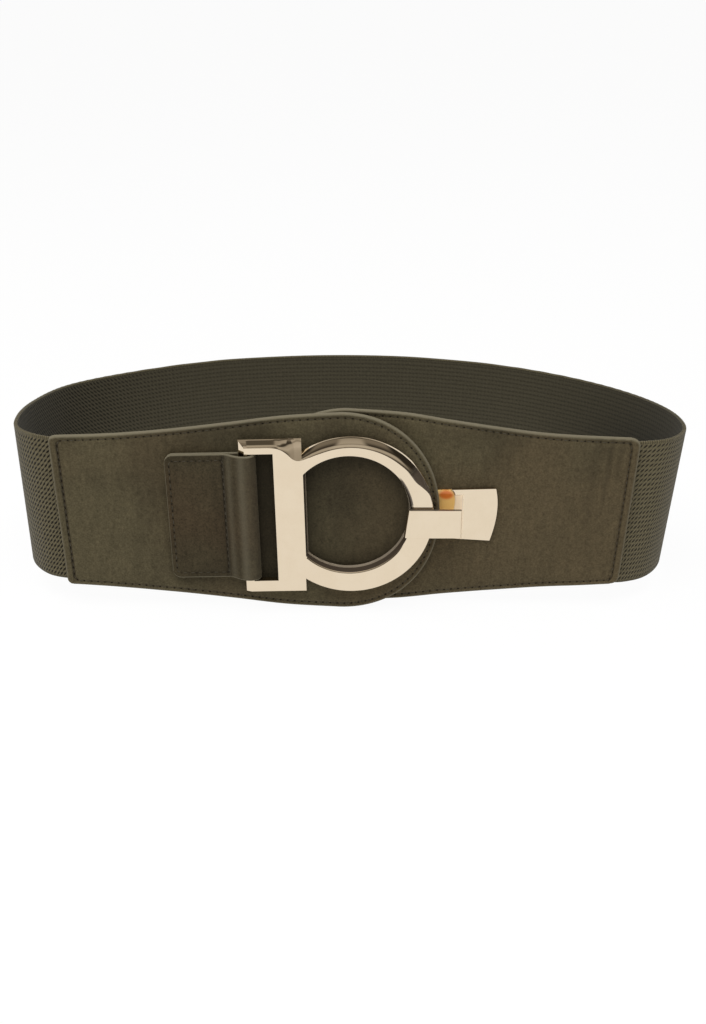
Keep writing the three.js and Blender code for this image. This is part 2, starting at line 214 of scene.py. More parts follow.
def arcLengths(line, closed=False):
    line = np.asarray(line, float)
    ends = np.vstack([line[1:], line[:1]]) if closed else line[1:]
    steps = np.linalg.norm(ends - line[:len(ends)], axis=1)
    return np.concatenate([[0], np.cumsum(steps)])


def alongClosed(line, places):
    # x and z at these distances along a closed line
    lengths = arcLengths(line, closed=True)
    closed = np.vstack([line, line[:1]])
    return np.interp(places, lengths, closed[:, 0]), np.interp(places, lengths, closed[:, 1])


def nearestOnLine(points, line):
    # for each (x, z) point: distance to a closed line, and how far along it the nearest place is
    starts = np.asarray(line, float)
    ends = np.roll(starts, -1, axis=0)
    runs = ends - starts
    lengths = np.linalg.norm(runs, axis=1)
    before = np.concatenate([[0], np.cumsum(lengths)])[:-1]
    distance = np.empty(len(points))
    along = np.empty(len(points))
    batch = 4000
    for low in range(0, len(points), batch):
        p = points[low:low + batch][:, None, :]
        share = np.clip(((p - starts) * runs).sum(2) / np.maximum(lengths**2, 1e-9), 0, 1)
        gap = np.linalg.norm(p - (starts + share[..., None] * runs), axis=2)
        best = gap.argmin(1)
        rows = np.arange(len(best))
        distance[low:low + batch] = gap[rows, best]
        along[low:low + batch] = before[best] + share[rows, best] * lengths[best]
    return distance, along, lengths.sum()


def writeValues(obj, name, values):
    layer = obj.data.attributes.new(name, "FLOAT", "POINT")
    layer.data.foreach_set("value", values)


def writeUv(obj, name, uv):
    layer = obj.data.uv_layers.new(name=name)
    layer.data.foreach_set("uv", uv.ravel())


def cornerVertices(mesh):
    corner = np.empty(len(mesh.loops), int)
    mesh.loops.foreach_get("vertex_index", corner)
    return corner


def writeSeamMap(obj, along, distance, stitches):
    # a UV map with stitches counted along the seam in U, and millimetres from the seam in V
    mesh = obj.data
    corner = cornerVertices(mesh)
    firsts = np.empty(len(mesh.polygons), int)
    totals = np.empty(len(mesh.polygons), int)
    mesh.polygons.foreach_get("loop_start", firsts)
    mesh.polygons.foreach_get("loop_total", totals)
    u = along[corner].copy()
    anchor = np.repeat(u[firsts], totals)
    u -= np.round((u - anchor) / stitches) * stitches  # keeps a face that crosses the start in one piece
    writeUv(obj, "seam", np.stack([u, distance[corner]], 1))


# shader helpers
def newMaterial(name):
    material = bpy.data.materials.new(name)
    material.use_nodes = True
    return material, material.node_tree, material.node_tree.nodes["Principled BSDF"]


def addNode(tree, kind, **settings):
    node = tree.nodes.new(kind)
    for key, value in settings.items():
        setattr(node, key, value)
    return node


def plug(tree, source, target):
    if isinstance(source, bpy.types.NodeSocket):
        tree.links.new(source, target)
    else:
        target.default_value = source


def mathNode(tree, operation, *values):
    node = addNode(tree, "ShaderNodeMath", operation=operation)
    for socket, value in zip(node.inputs, values):
        plug(tree, value, socket)
    return node.outputs[0]


def times(tree, first, second):
    return mathNode(tree, "MULTIPLY", first, second)


def plus(tree, first, second):
    return mathNode(tree, "ADD", first, second)


def minus(tree, first, second):
    return mathNode(tree, "SUBTRACT", first, second)


def mixColors(tree, share, first, second):
    node = addNode(tree, "ShaderNodeMix", data_type="RGBA")
    plug(tree, share, node.inputs[0])
    plug(tree, first, node.inputs[6])
    plug(tree, second, node.inputs[7])
    return node.outputs[2]


def remap(tree, value, low, high, newLow=0.0, newHigh=1.0, smooth=True):
    node = addNode(tree, "ShaderNodeMapRange", interpolation_type="SMOOTHSTEP" if smooth else "LINEAR")
    for socket, entry in zip(node.inputs, (value, low, high, newLow, newHigh)):
        plug(tree, entry, socket)
    return node.outputs[0]


def noiseNode(tree, vector, scale, detail, roughness):
    node = addNode(tree, "ShaderNodeTexNoise")
    plug(tree, vector, node.inputs["Vector"])
    for key, value in (("Scale", scale), ("Detail", detail), ("Roughness", roughness)):
        plug(tree, value, node.inputs[key])
    return node.outputs["Fac"]


def objectPlace(tree):
    return addNode(tree, "ShaderNodeTexCoord").outputs["Object"]


def separated(tree, vector):
    node = addNode(tree, "ShaderNodeSeparateXYZ")
    plug(tree, vector, node.inputs[0])
    return node.outputs


def meshValue(tree, name):
    return addNode(tree, "ShaderNodeAttribute", attribute_name=name).outputs["Fac"]


def addBump(tree, shader, height, look):
    bump = addNode(tree, "ShaderNodeBump")
    bump.inputs["Strength"].default_value = look["bumpStrength"]
    bump.inputs["Distance"].default_value = look["bump"] * mm
    plug(tree, height, bump.inputs["Height"])
    plug(tree, bump.outputs[0], shader.inputs["Normal"])


def setShader(shader, look):
    for label, key in (
        ("Roughness", "roughness"), ("Specular IOR Level", "specular"), ("Sheen Weight", "sheen"),
        ("Sheen Roughness", "sheenRoughness"), ("Sheen Tint", "sheenTint"),
    ):
        if key in look:
            shader.inputs[label].default_value = look[key]


def newGroup(name, inputs, outputs):
    # inputs by name with their defaults, tones as colours; outputs by name
    tree = bpy.data.node_groups.new(name, "ShaderNodeTree")
    for label, value in inputs.items():
        kind = "NodeSocketColor" if isinstance(value, tuple) else "NodeSocketFloat"
        socket = tree.interface.new_socket(label, in_out="INPUT", socket_type=kind)
        socket.default_value = value
    for label in outputs:
        kind = "NodeSocketColor" if label == "Color" else "NodeSocketFloat"
        tree.interface.new_socket(label, in_out="OUTPUT", socket_type=kind)
    start = tree.nodes.new("NodeGroupInput")
    end = tree.nodes.new("NodeGroupOutput")
    return tree, start.outputs, end.inputs


def placeGroup(tree, group, **values):
    node = tree.nodes.new("ShaderNodeGroup")
    node.node_tree = group
    for label, value in values.items():
        plug(tree, value, node.inputs[label.replace("_", " ")])
    return node.outputs


def srgb(red, green, blue):
    def linear(c):
        c /= 255
        return c / 12.92 if c <= 0.04045 else ((c + 0.055) / 1.055) ** 2.4
    return (linear(red), linear(green), linear(blue), 1)


# suede
nap = {
    "patchEdge": (0.34, 0.66), "warmEdge": (0.42, 0.64),  # where one colour of pile gives way to the next
    "warmSize": 0.45, "fleckSize": 0.4,  # against the size of the patches and of the grain
    "streakSize": 520.0, "streakStretch": (1.0, 1.0, 0.14),
    "grainTone": 4.0, "fleckTone": 2.2, "streakTone": 1.3,
    "grainHeight": 0.6, "fleckHeight": 0.5,
}
marks = {"holeEdge": (0.2, 1.8), "lineEdge": (0.1, 1.0)}


def buildSuedeNap():
    # broad soft patches where the pile lies another way, a fine grain, and faint upright streaks
    tree, given, made = newGroup("suedeNap", {
        "Pile": srgb(80, 73, 55), "Shaded Pile": srgb(62, 56, 42), "Warm Pile": srgb(90, 76, 56),
        "Patch Size": 26.0, "Grain Size": 1400.0, "Grain Share": 0.16,
    }, ("Color", "Height"))
    where = objectPlace(tree)
    patch = noiseNode(tree, where, given["Patch Size"], 3.0, 0.5)
    warmSize = times(tree, given["Patch Size"], nap["warmSize"])
    warmPatch = noiseNode(tree, where, warmSize, 2.0, 0.5)
    grain = noiseNode(tree, where, given["Grain Size"], 2.0, 0.6)
    fleckSize = times(tree, given["Grain Size"], nap["fleckSize"])
    fleck = noiseNode(tree, where, fleckSize, 2.0, 0.6)
    stretched = addNode(tree, "ShaderNodeVectorMath", operation="MULTIPLY")
    plug(tree, where, stretched.inputs[0])
    plug(tree, nap["streakStretch"], stretched.inputs[1])
    streak = noiseNode(tree, stretched.outputs[0], nap["streakSize"], 2.0, 0.5)
    color = mixColors(tree, remap(tree, patch, *nap["patchEdge"]), given["Pile"], given["Shaded Pile"])
    color = mixColors(tree, remap(tree, warmPatch, *nap["warmEdge"]), color, given["Warm Pile"])
    changes = []
    for noise, tone in ((grain, "grainTone"), (fleck, "fleckTone"), (streak, "streakTone")):
        change = minus(tree, noise, 0.5)
        strength = times(tree, given["Grain Share"], nap[tone])
        changes.append(times(tree, change, strength))
    change = plus(tree, plus(tree, changes[0], changes[1]), changes[2])
    tinted = addNode(tree, "ShaderNodeVectorMath", operation="SCALE")
    plug(tree, color, tinted.inputs[0])
    plug(tree, plus(tree, change, 1.0), tinted.inputs["Scale"])
    plug(tree, tinted.outputs[0], made["Color"])
    grainHeight = times(tree, grain, nap["grainHeight"])
    fleckHeight = times(tree, fleck, nap["fleckHeight"])
    plug(tree, plus(tree, grainHeight, fleckHeight), made["Height"])
    return tree


def buildSeamMarks():
    # needle holes at each whole stitch, and the line that the thread pulls down between them
    tree, given, made = newGroup("seamMarks", {
        "Pitch": 3.0, "Hole Length": 0.4, "Hole Width": 0.3, "Line Width": 0.8,
    }, ("Hole", "Line"))
    seam = separated(tree, addNode(tree, "ShaderNodeUVMap", uv_map="seam").outputs[0])
    shifted = mathNode(tree, "FRACT", plus(tree, seam[0], 0.5))
    offset = mathNode(tree, "ABSOLUTE", minus(tree, shifted, 0.5))
    along = times(tree, offset, given["Pitch"])
    a = mathNode(tree, "POWER", mathNode(tree, "DIVIDE", along, given["Hole Length"]), 2.0)
    b = mathNode(tree, "POWER", mathNode(tree, "DIVIDE", seam[1], given["Hole Width"]), 2.0)
    reach = plus(tree, a, b)
    plug(tree, remap(tree, reach, *marks["holeEdge"], 1.0, 0.0), made["Hole"])
    line = mathNode(tree, "DIVIDE", mathNode(tree, "ABSOLUTE", seam[1]), given["Line Width"])
    plug(tree, remap(tree, line, *marks["lineEdge"], 1.0, 0.0), made["Line"])
    return tree


suedeNap = buildSuedeNap()
seamMarks = buildSeamMarks()


def suedeMaterial(name, look):
    material, tree, shader = newMaterial(name)
    pile = placeGroup(
        tree, suedeNap, Pile=look["pile"], Shaded_Pile=look["shaded"], Warm_Pile=look["warm"],
        Patch_Size=look["patch"], Grain_Size=look["grain"], Grain_Share=look["grainShare"],
    )
    seam = placeGroup(
        tree, seamMarks, Pitch=look["pitch"], Hole_Length=look["holeLength"], Hole_Width=look["holeWidth"],
        Line_Width=look["lineWidth"],
    )
    edge, fold, paintedShade = (meshValue(tree, label) for label in ("edge", "fold", "paintedShade"))
    color = pile["Color"]
    for mask, share, toneName in (
        (edge, look["edgeShare"], "edgeTone"), (seam["Line"], fold, "seamTone"),
        (seam["Hole"], look["holeShare"], "holeTone"),
    ):
        color = mixColors(tree, times(tree, mask, share), color, look[toneName])
    # painted shade darkens the pile: under the buckle, along creases and across the tab
    plug(tree, mixColors(tree, paintedShade, color, look["paintedShadeTone"]), shader.inputs["Base Color"])
    holes = times(tree, seam["Hole"], look["holeDepth"])
    height = minus(tree, pile["Height"], holes)
    addBump(tree, shader, height, look)
    setShader(shader, look)
    return material


panelLook = {
    "pile": srgb(83, 76, 57), "shaded": srgb(62, 56, 42), "warm": srgb(84, 74, 55),
    "patch": 26.0, "grain": 1400.0, "grainShare": 0.28,
    "pitch": 3.0, "holeLength": 0.46, "holeWidth": 0.36, "holeDepth": 2.0, "lineWidth": 0.9,
    "edgeTone": srgb(112, 106, 89), "edgeShare": 0.8, "seamTone": srgb(44, 38, 28),
    "holeTone": srgb(26, 22, 16), "holeShare": 0.9, "paintedShadeTone": srgb(30, 27, 21),
    "bump": 0.28, "bumpStrength": 0.5, "roughness": 0.95, "specular": 0.12,
    "sheen": 0.18, "sheenRoughness": 0.45, "sheenTint": srgb(170, 160, 135),
}
tabLook = {
    **panelLook, "pile": srgb(65, 58, 43), "shaded": srgb(56, 50, 37), "warm": srgb(67, 57, 42),
    "patch": 40.0, "pitch": 3.2, "grainShare": 0.34,
}
panelSuede = suedeMaterial("panelSuede", panelLook)
tabSuede = suedeMaterial("tabSuede", tabLook)

threadLook = {
    "dark": srgb(52, 46, 34), "light": srgb(70, 63, 47), "fibre": 2600.0, "bump": 0.1, "bumpStrength": 0.5,
    "roughness": 0.7,
}


def threadMaterial():
    material, tree, shader = newMaterial("sewingThread")
    fibre = noiseNode(tree, objectPlace(tree), threadLook["fibre"], 2.0, 0.6)
    plug(tree, mixColors(tree, fibre, threadLook["dark"], threadLook["light"]), shader.inputs["Base Color"])
    addBump(tree, shader, fibre, threadLook)
    setShader(shader, threadLook)
    return material


sewingThread = threadMaterial()

# elastic
mapUnit = 100.0  # millimetres to one unit of the weave's UV map
strap = {
    "wobbleSize": 140.0, "wobbleAlong": 0.5, "wobbleUp": 0.2,
    "gapEdge": (-0.25, 0.75),  # where the threads dip deep enough to show a dark gap
    "selvedge": (0.9, 1.5), "beadShare": 0.3,
    "yarnSize": 1500.0, "yarnEdge": (0.3, 0.7), "yarnShare": 0.3, "yarnHeight": 0.15,
}


def buildElasticWeave():
    # a lattice of slanted threads over ribs: dark gaps where the diagonal, the ribs and the upright
    # threads all dip together
    tree, given, made = newGroup("elasticWeave", {
        "Light Yarn": srgb(112, 105, 88), "Dark Gap": srgb(44, 40, 31),
        "Cell Length": 2.15, "Row Height": 2.1, "Diagonal Share": 0.6, "Rib Share": 0.27,
        "Upright Share": 0.13, "Contrast": 1.0, "Width": 63.0,
    }, ("Color", "Height"))
    weave = separated(tree, addNode(tree, "ShaderNodeUVMap", uv_map="weave").outputs[0])
    u, v = (times(tree, weave[axis], mapUnit) for axis in (0, 1))
    where = objectPlace(tree)
    wobble = minus(tree, noiseNode(tree, where, strap["wobbleSize"], 2.0, 0.5), 0.5)

    def counted(value, size, share):
        cells = mathNode(tree, "DIVIDE", value, given[size])
        return plus(tree, cells, times(tree, wobble, share))

    def wave(value, share):
        turned = mathNode(tree, "COSINE", times(tree, value, 2 * math.pi))
        return times(tree, turned, share)

    a = counted(u, "Cell Length", strap["wobbleAlong"])
    b = counted(v, "Row Height", strap["wobbleUp"])
    slanted = wave(plus(tree, a, b), given["Diagonal Share"])
    ribbed = plus(tree, slanted, wave(b, given["Rib Share"]))
    lattice = plus(tree, ribbed, wave(a, given["Upright Share"]))
    gapShare = times(tree, remap(tree, lattice, *strap["gapEdge"]), given["Contrast"])

    # the selvedge along both edges is a narrow closed cord
    fromEdge = mathNode(tree, "MINIMUM", v, minus(tree, given["Width"], v))
    inside = remap(tree, fromEdge, *strap["selvedge"])
    beads = plus(tree, wave(times(tree, a, 2.0), 1.0), 1.0)
    beads = times(tree, beads, strap["beadShare"])
    dark = addNode(tree, "ShaderNodeMix", data_type="FLOAT")
    for socket, value in zip((0, 2, 3), (inside, beads, gapShare)):
        plug(tree, value, dark.inputs[socket])
    yarn = noiseNode(tree, where, strap["yarnSize"], 3.0, 0.7)
    yarnTone = remap(tree, yarn, *strap["yarnEdge"], 0.0, strap["yarnShare"])
    tone = mixColors(tree, yarnTone, given["Light Yarn"], given["Dark Gap"])
    plug(tree, mixColors(tree, dark.outputs[0], tone, given["Dark Gap"]), made["Color"])
    yarnHeight = times(tree, yarn, strap["yarnHeight"])
    plug(tree, minus(tree, yarnHeight, dark.outputs[0]), made["Height"])
    return tree


elasticWeave = buildElasticWeave()


def elasticMaterial(name, look):
    material, tree, shader = newMaterial(name)
    shade, slant = (meshValue(tree, label) for label in ("shade", "slant"))
    diagonal = mathNode(tree, "MULTIPLY_ADD", slant, look["slantDiagonal"], look["diagonal"])
    contrast = mathNode(tree, "MULTIPLY_ADD", slant, look["slantContrast"], look["contrast"])
    weave = placeGroup(
        tree, elasticWeave, Light_Yarn=look["light"], Dark_Gap=look["dark"], Diagonal_Share=diagonal,
        Rib_Share=look["rib"], Upright_Share=look["upright"], Contrast=contrast, Cell_Length=look["cell"],
    )
    plug(tree, mixColors(tree, shade, weave["Color"], look["shadeTone"]), shader.inputs["Base Color"])
    addBump(tree, shader, weave["Height"], look)
    setShader(shader, look)
    return material


outerLook = {
    "light": srgb(108, 100, 77), "dark": srgb(28, 24, 14), "shadeTone": srgb(14, 13, 9), "cell": 1.57,
    "diagonal": 0.52, "rib": 0.34, "upright": 0.08, "contrast": 0.9,
    "slantDiagonal": 0.12, "slantContrast": 0.1,  # what the left end adds
    "bump": 0.5, "bumpStrength": 0.7, "roughness": 0.85, "specular": 0.2,
    "sheen": 0.08, "sheenRoughness": 0.5,
}
innerLook = {
    # the weave's inner face: its own ribbed pattern, in darker tones that partly paint the loop's shade
    **outerLook, "light": srgb(77, 72, 57), "dark": srgb(20, 18, 11), "cell": 1.85,
    "diagonal": 0.04, "rib": 0.36, "upright": 0.1, "contrast": 0.48,
    "slantDiagonal": 0.9, "slantContrast": 0.42, "bumpStrength": 0.35, "sheen": 0.03,
}
elasticOuter = elasticMaterial("elasticOuter", outerLook)
elasticInner = elasticMaterial("elasticInner", innerLook)

# plated metal
metalLook = {
    "base": srgb(226, 210, 185), "handled": srgb(219, 201, 174), "handledShare": 0.35,
    "roughness": (0.03, 0.08),
    "handling": 120.0, "handlingTone": (0.3, 0.7), "handlingGloss": (0.35, 0.75),
    # painted reflections: pale behind the tongue's end, deep gold and orange under it; painted shade where
    # the metal is boxed in
    "paleReflection": srgb(246, 223, 191), "deep": srgb(244, 204, 128), "orangeReflection": srgb(216, 120, 52),
    "paintedMetalShade": srgb(50, 38, 30),
}


def metalMaterial():
    # polished plating, faintly handled; a painted warm reflection makes it glow deeper where the hook's plate
    # folds back under itself, and painted shade makes it dim and less of a mirror where it is boxed in
    material, tree, shader = newMaterial("paleGold")
    handling = noiseNode(tree, objectPlace(tree), metalLook["handling"], 4.0, 0.6)
    gloss = remap(tree, handling, *metalLook["handlingGloss"], *metalLook["roughness"], False)
    plug(tree, gloss, shader.inputs["Roughness"])
    handled = remap(tree, handling, *metalLook["handlingTone"], 0.0, metalLook["handledShare"])
    tone = mixColors(tree, handled, metalLook["base"], metalLook["handled"])
    masks = {label: meshValue(tree, label) for label in ("deep", "orangeReflection", "paintedMetalShade", "matt", "paleReflection")}
    for label in ("paleReflection", "deep", "orangeReflection", "paintedMetalShade"):
        tone = mixColors(tree, masks[label], tone, metalLook[label])
    plug(tree, tone, shader.inputs["Base Color"])
    plug(tree, minus(tree, 1.0, masks["matt"]), shader.inputs["Metallic"])
    return material


paleGold = metalMaterial()
print("materials made")

# suede panels
panel = {
    "thickness": 2.8, "edgeRound": 0.8, "edgeSteps": 4, "slantFade": 40, "tipFullness": 0.95,
    "sideStitch": 1.9, "endStitch": 3.4, "stitchPitch": 3.0, "seamStep": 0.5, "seamEase": 5,
    "seamDepth": 0.34, "seamWidth": 0.75,
    "betweenHoles": 0.75,  # how much of its depth the seam keeps between two holes
    "pucker": 0.07, "puckerWidth": 1.6,
    "strip": ((0.4, 1.6), (3.3, 2.2)), "stripRise": 0.28,  # the edge stands up outside the end seam
    "swell": 0.11, "swellFrom": (1.5, 7.0), "onFace": (0.5, 0.0),
    "swellX": (0.071, 0.6), "swellZ": (0.11, 1.1), "swellSlant": (0.19, 0.13),  # the waves of the swelling
    "endFold": 0.8, "sideFold": 0.16, "foldFrom": (5.0, 4.2),  # how dark the line of the seam is
    "rubbedEdge": (0.6, 0.25),  # and how rubbed the last two loops round the edge are
    "faceInsets": (1.05, 1.3, 1.55, 1.8, 2.05),
    # stations beyond the sewn corners, close together at the end seam
    "closeSteps": (0.15, 0.35, 0.6, 0.9, 1.3, 1.9, 2.7), "farFrom": 3.6, "farStep": 0.9,
    "rowShares": (0.006, 0.013, 0.022, 0.036, 0.06), "rowsFrom": 0.09, "halfRows": 17,
    "cornerSteps": 7, "tipSteps": 60, "threadDepths": (0.5, 0.3, 0.5),
}
leftPanel = {
    "name": "left_panel_suede", "side": 1, "end": -121.2, "endSlant": -0.035, "widest": -5, "tipReach": 40.3,
    "cornerRadius": 2.4,
    "outline": [  # x, top edge above the centreline, bottom edge below it
        (-121.2, 32.4, 33.3), (-98, 33.6, 34.2), (-74, 35.7, 36.2), (-50, 38.5, 39.0), (-28, 41.3, 41.8),
        (-5, 42.8, 43.1),
    ],
    "face": [(-121.2, -2.0), (-100, -0.5), (-80, 0), (-35, 0.1), (0, 0.5), (15, 1.1), (27, 1.5), (35.3, 1.6)],
}
rightPanel = {
    "name": "right_panel_suede", "side": -1, "end": 113.6, "endSlant": 0.062, "widest": -2, "tipReach": 40,
    "cornerRadius": 3.6,
    "outline": [
        (113.6, 31.4, 33.0), (98, 32.2, 33.6), (78, 33.4, 34.6), (57, 35.9, 36.6), (38, 38.6, 38.7),
        (20, 41.5, 40.8), (-2, 43.3, 41.7),
    ],
    "face": [(-42, -3.0), (0, -3.1), (15, -3.7), (33, -3.7), (44, -3.1), (57, -2.4), (70, -1.7), (84, -1.2),
             (100, -0.8), (113.6, -1.5)],
}
buckleShade = {  # painted shade on the nap behind the buckle: darkest in the slot, less inside the ring
    "slotX": ((-43.5, -42.5), (-30.5, -31.5)), "slotZ": ((-30.5, -29.5), (29.5, 28.5)), "slotShare": 0.7,
    "ringMiddle": (-1.4, 0.8), "ringEdge": (27.5, 24.0), "ringLeft": (-20.5, -19.0), "ringShare": 0.3,
    "rimFrom": (15.0, 25.0), "rimShare": 0.25, "barFrom": -10, "barSide": 5.5,
}
creaseShade = {  # painted shade of upright creases near the right panel's sewn end
    "lean": 0.03,
    "rows": [(101.5, 0.9, 0.34, -4, 14), (105.5, 0.8, 0.18, 6, 20), (96.5, 2.2, 0.14, -20, 10)],
}
faceEase = (-8, -4, 0, 4, 8)  # the face's profile is averaged over these steps
farFromSeam = 9.0  # the distance written where there is no seam


def faceOut(shape, x):
    rows = np.array(shape["face"], float)
    return np.mean([np.interp(x + step, rows[:, 0], rows[:, 1]) for step in faceEase], axis=0)


def panelPoint(shape, x, z, depth):
    fade = np.maximum(0, 1 - np.abs(x - shape["end"]) / panel["slantFade"])
    return np.stack([x + shape["endSlant"] * z * fade, depth - faceOut(shape, x), z], axis=-1)


def panelStations(shape):
    # x, half height above and half height below, from the sewn end to the tip
    side, end, r = shape["side"], shape["end"], shape["cornerRadius"]
    rows = splineThrough(shape["outline"], np.linspace(0, 1, 600))
    rows = rows[np.argsort(rows[:, 0])]
    angle = np.linspace(0, math.pi / 2, panel["cornerSteps"])
    cut = r * (1 - np.sin(angle))
    corner = np.stack([end + side * r * (1 - np.cos(angle)), shape["outline"][0][1] - cut,
                       shape["outline"][0][2] - cut], 1)
    closeSteps = [r + step for step in panel["closeSteps"]]
    length = abs(shape["widest"] - end)
    offsets = np.array(closeSteps + list(np.arange(r + panel["farFrom"], length + 0.01, panel["farStep"])))
    x = end + side * offsets
    edge = np.stack([x, np.interp(x, rows[:, 0], rows[:, 1]), np.interp(x, rows[:, 0], rows[:, 2])], 1)
    angle = np.linspace(0, math.pi / 2, panel["tipSteps"])[1:]
    across = np.cos(angle).clip(0) ** panel["tipFullness"]
    reach = shape["tipReach"] * np.sin(angle) ** panel["tipFullness"]
    top, bottom = shape["outline"][-1][1:]
    tip = np.stack([shape["widest"] + side * reach, top * across, bottom * across], 1)
    tip[-1, 1:] = 0
    return np.vstack([corner, edge, tip])


def insetLoop(loop, side, distance):
    run = np.roll(loop, -1, axis=0) - np.roll(loop, 1, axis=0)
    run /= np.linalg.norm(run, axis=1)[:, None]
    return loop + side * distance * np.stack([run[:, 1], -run[:, 0]], 1)


def paintedBuckleShade(flat):
    # painted shade under the buckle: darkest in the slot, lighter inside the ring, darker again towards its
    # rim and the bar's side
    c, s = math.cos(front["roll"]), math.sin(front["roll"])
    x = flat[:, 0] * c - flat[:, 1] * s
    z = flat[:, 0] * s + flat[:, 1] * c
    slot = 1.0
    for value, edges in ((x, buckleShade["slotX"]), (z, buckleShade["slotZ"])):
        for low, high in edges:
            slot = slot * smoothStep(low, high, value)
    middleX, middleZ = buckleShade["ringMiddle"]
    fromMiddle = np.hypot(x - middleX, z - middleZ)
    ring = smoothStep(*buckleShade["ringEdge"], fromMiddle) * smoothStep(*buckleShade["ringLeft"], x)
    towardsBar = np.where(x < buckleShade["barFrom"], buckleShade["barSide"] - x, 0)
    rim = smoothStep(*buckleShade["rimFrom"], np.maximum(fromMiddle, towardsBar))
    inRing = ring * (buckleShade["ringShare"] + buckleShade["rimShare"] * rim)
    return np.maximum(buckleShade["slotShare"] * slot, inRing)


def paintedCreaseShade(flat):
    # painted shade along soft upright creases
    x, z = flat.T
    across = x - creaseShade["lean"] * z
    return sum(softLines(across, [row[:3]]) * smoothStep(*row[3:], z) for row in creaseShade["rows"])


def seamLine(outline, shape):
    # inside the edge all round, further in along the sewn end, and eased at the corners
    side, end = shape["side"], shape["end"]
    seam = insetLoop(outline, side, panel["sideStitch"])
    tooNear = side * (seam[:, 0] - end) < panel["endStitch"]
    seam[tooNear, 0] = end + side * panel["endStitch"]
    seam = np.roll(seam, -int(np.argmin(seam[:, 1])), axis=0)
    length, step = arcLengths(seam, closed=True)[-1], panel["seamStep"]
    seam = np.stack(alongClosed(seam, np.arange(0, length - step / 2, step)), 1)
    reach = panel["seamEase"]
    return sum(np.roll(seam, shift, axis=0) for shift in range(-reach, reach + 1)) / (2 * reach + 1)


def edgeLevels():
    # inset and depth, from the back of the edge round to the face, then in across the face
    r, thickness, steps = panel["edgeRound"], panel["thickness"], panel["edgeSteps"]
    turns = [k / steps * math.pi / 2 for k in range(steps + 1)]
    levels = [(r * (1 - math.sin(a)), thickness - r * (1 - math.cos(a))) for a in turns]
    levels += [(r * (1 - math.sin(a)), r * (1 - math.cos(a))) for a in reversed(turns)]
    return levels + [(inset, 0.0) for inset in panel["faceInsets"]]


def seamRelief(flat, distance, phase, fromEnd):
    # sunk at the seam, a little raised and puckered beside it, and softly swollen further in
    x, z = flat.T
    dip = np.exp(-((distance / panel["seamWidth"]) ** 2))
    (low, high), (farLow, farHigh) = panel["strip"]
    strip = smoothStep(low, high, fromEnd) * smoothStep(farLow, farHigh, fromEnd)
    pull = 0.5 + 0.5 * np.cos(2 * math.pi * phase)
    (xRate, xShift), (zRate, zShift) = panel["swellX"], panel["swellZ"]
    slantX, slantZ = panel["swellSlant"]
    swell = np.sin(x * xRate + xShift) * np.sin(z * zRate + zShift) + 0.5 * np.sin(x * slantX + z * slantZ)
    kept = panel["betweenHoles"]
    return (
        -panel["seamDepth"] * dip * (kept + (1 - kept) * pull)
        + panel["stripRise"] * strip
        + panel["pucker"] * (1 - dip) * np.exp(-((distance / panel["puckerWidth"]) ** 2)) * (0.5 - pull)
        + panel["swell"] * swell * smoothStep(*panel["swellFrom"], distance)
    )


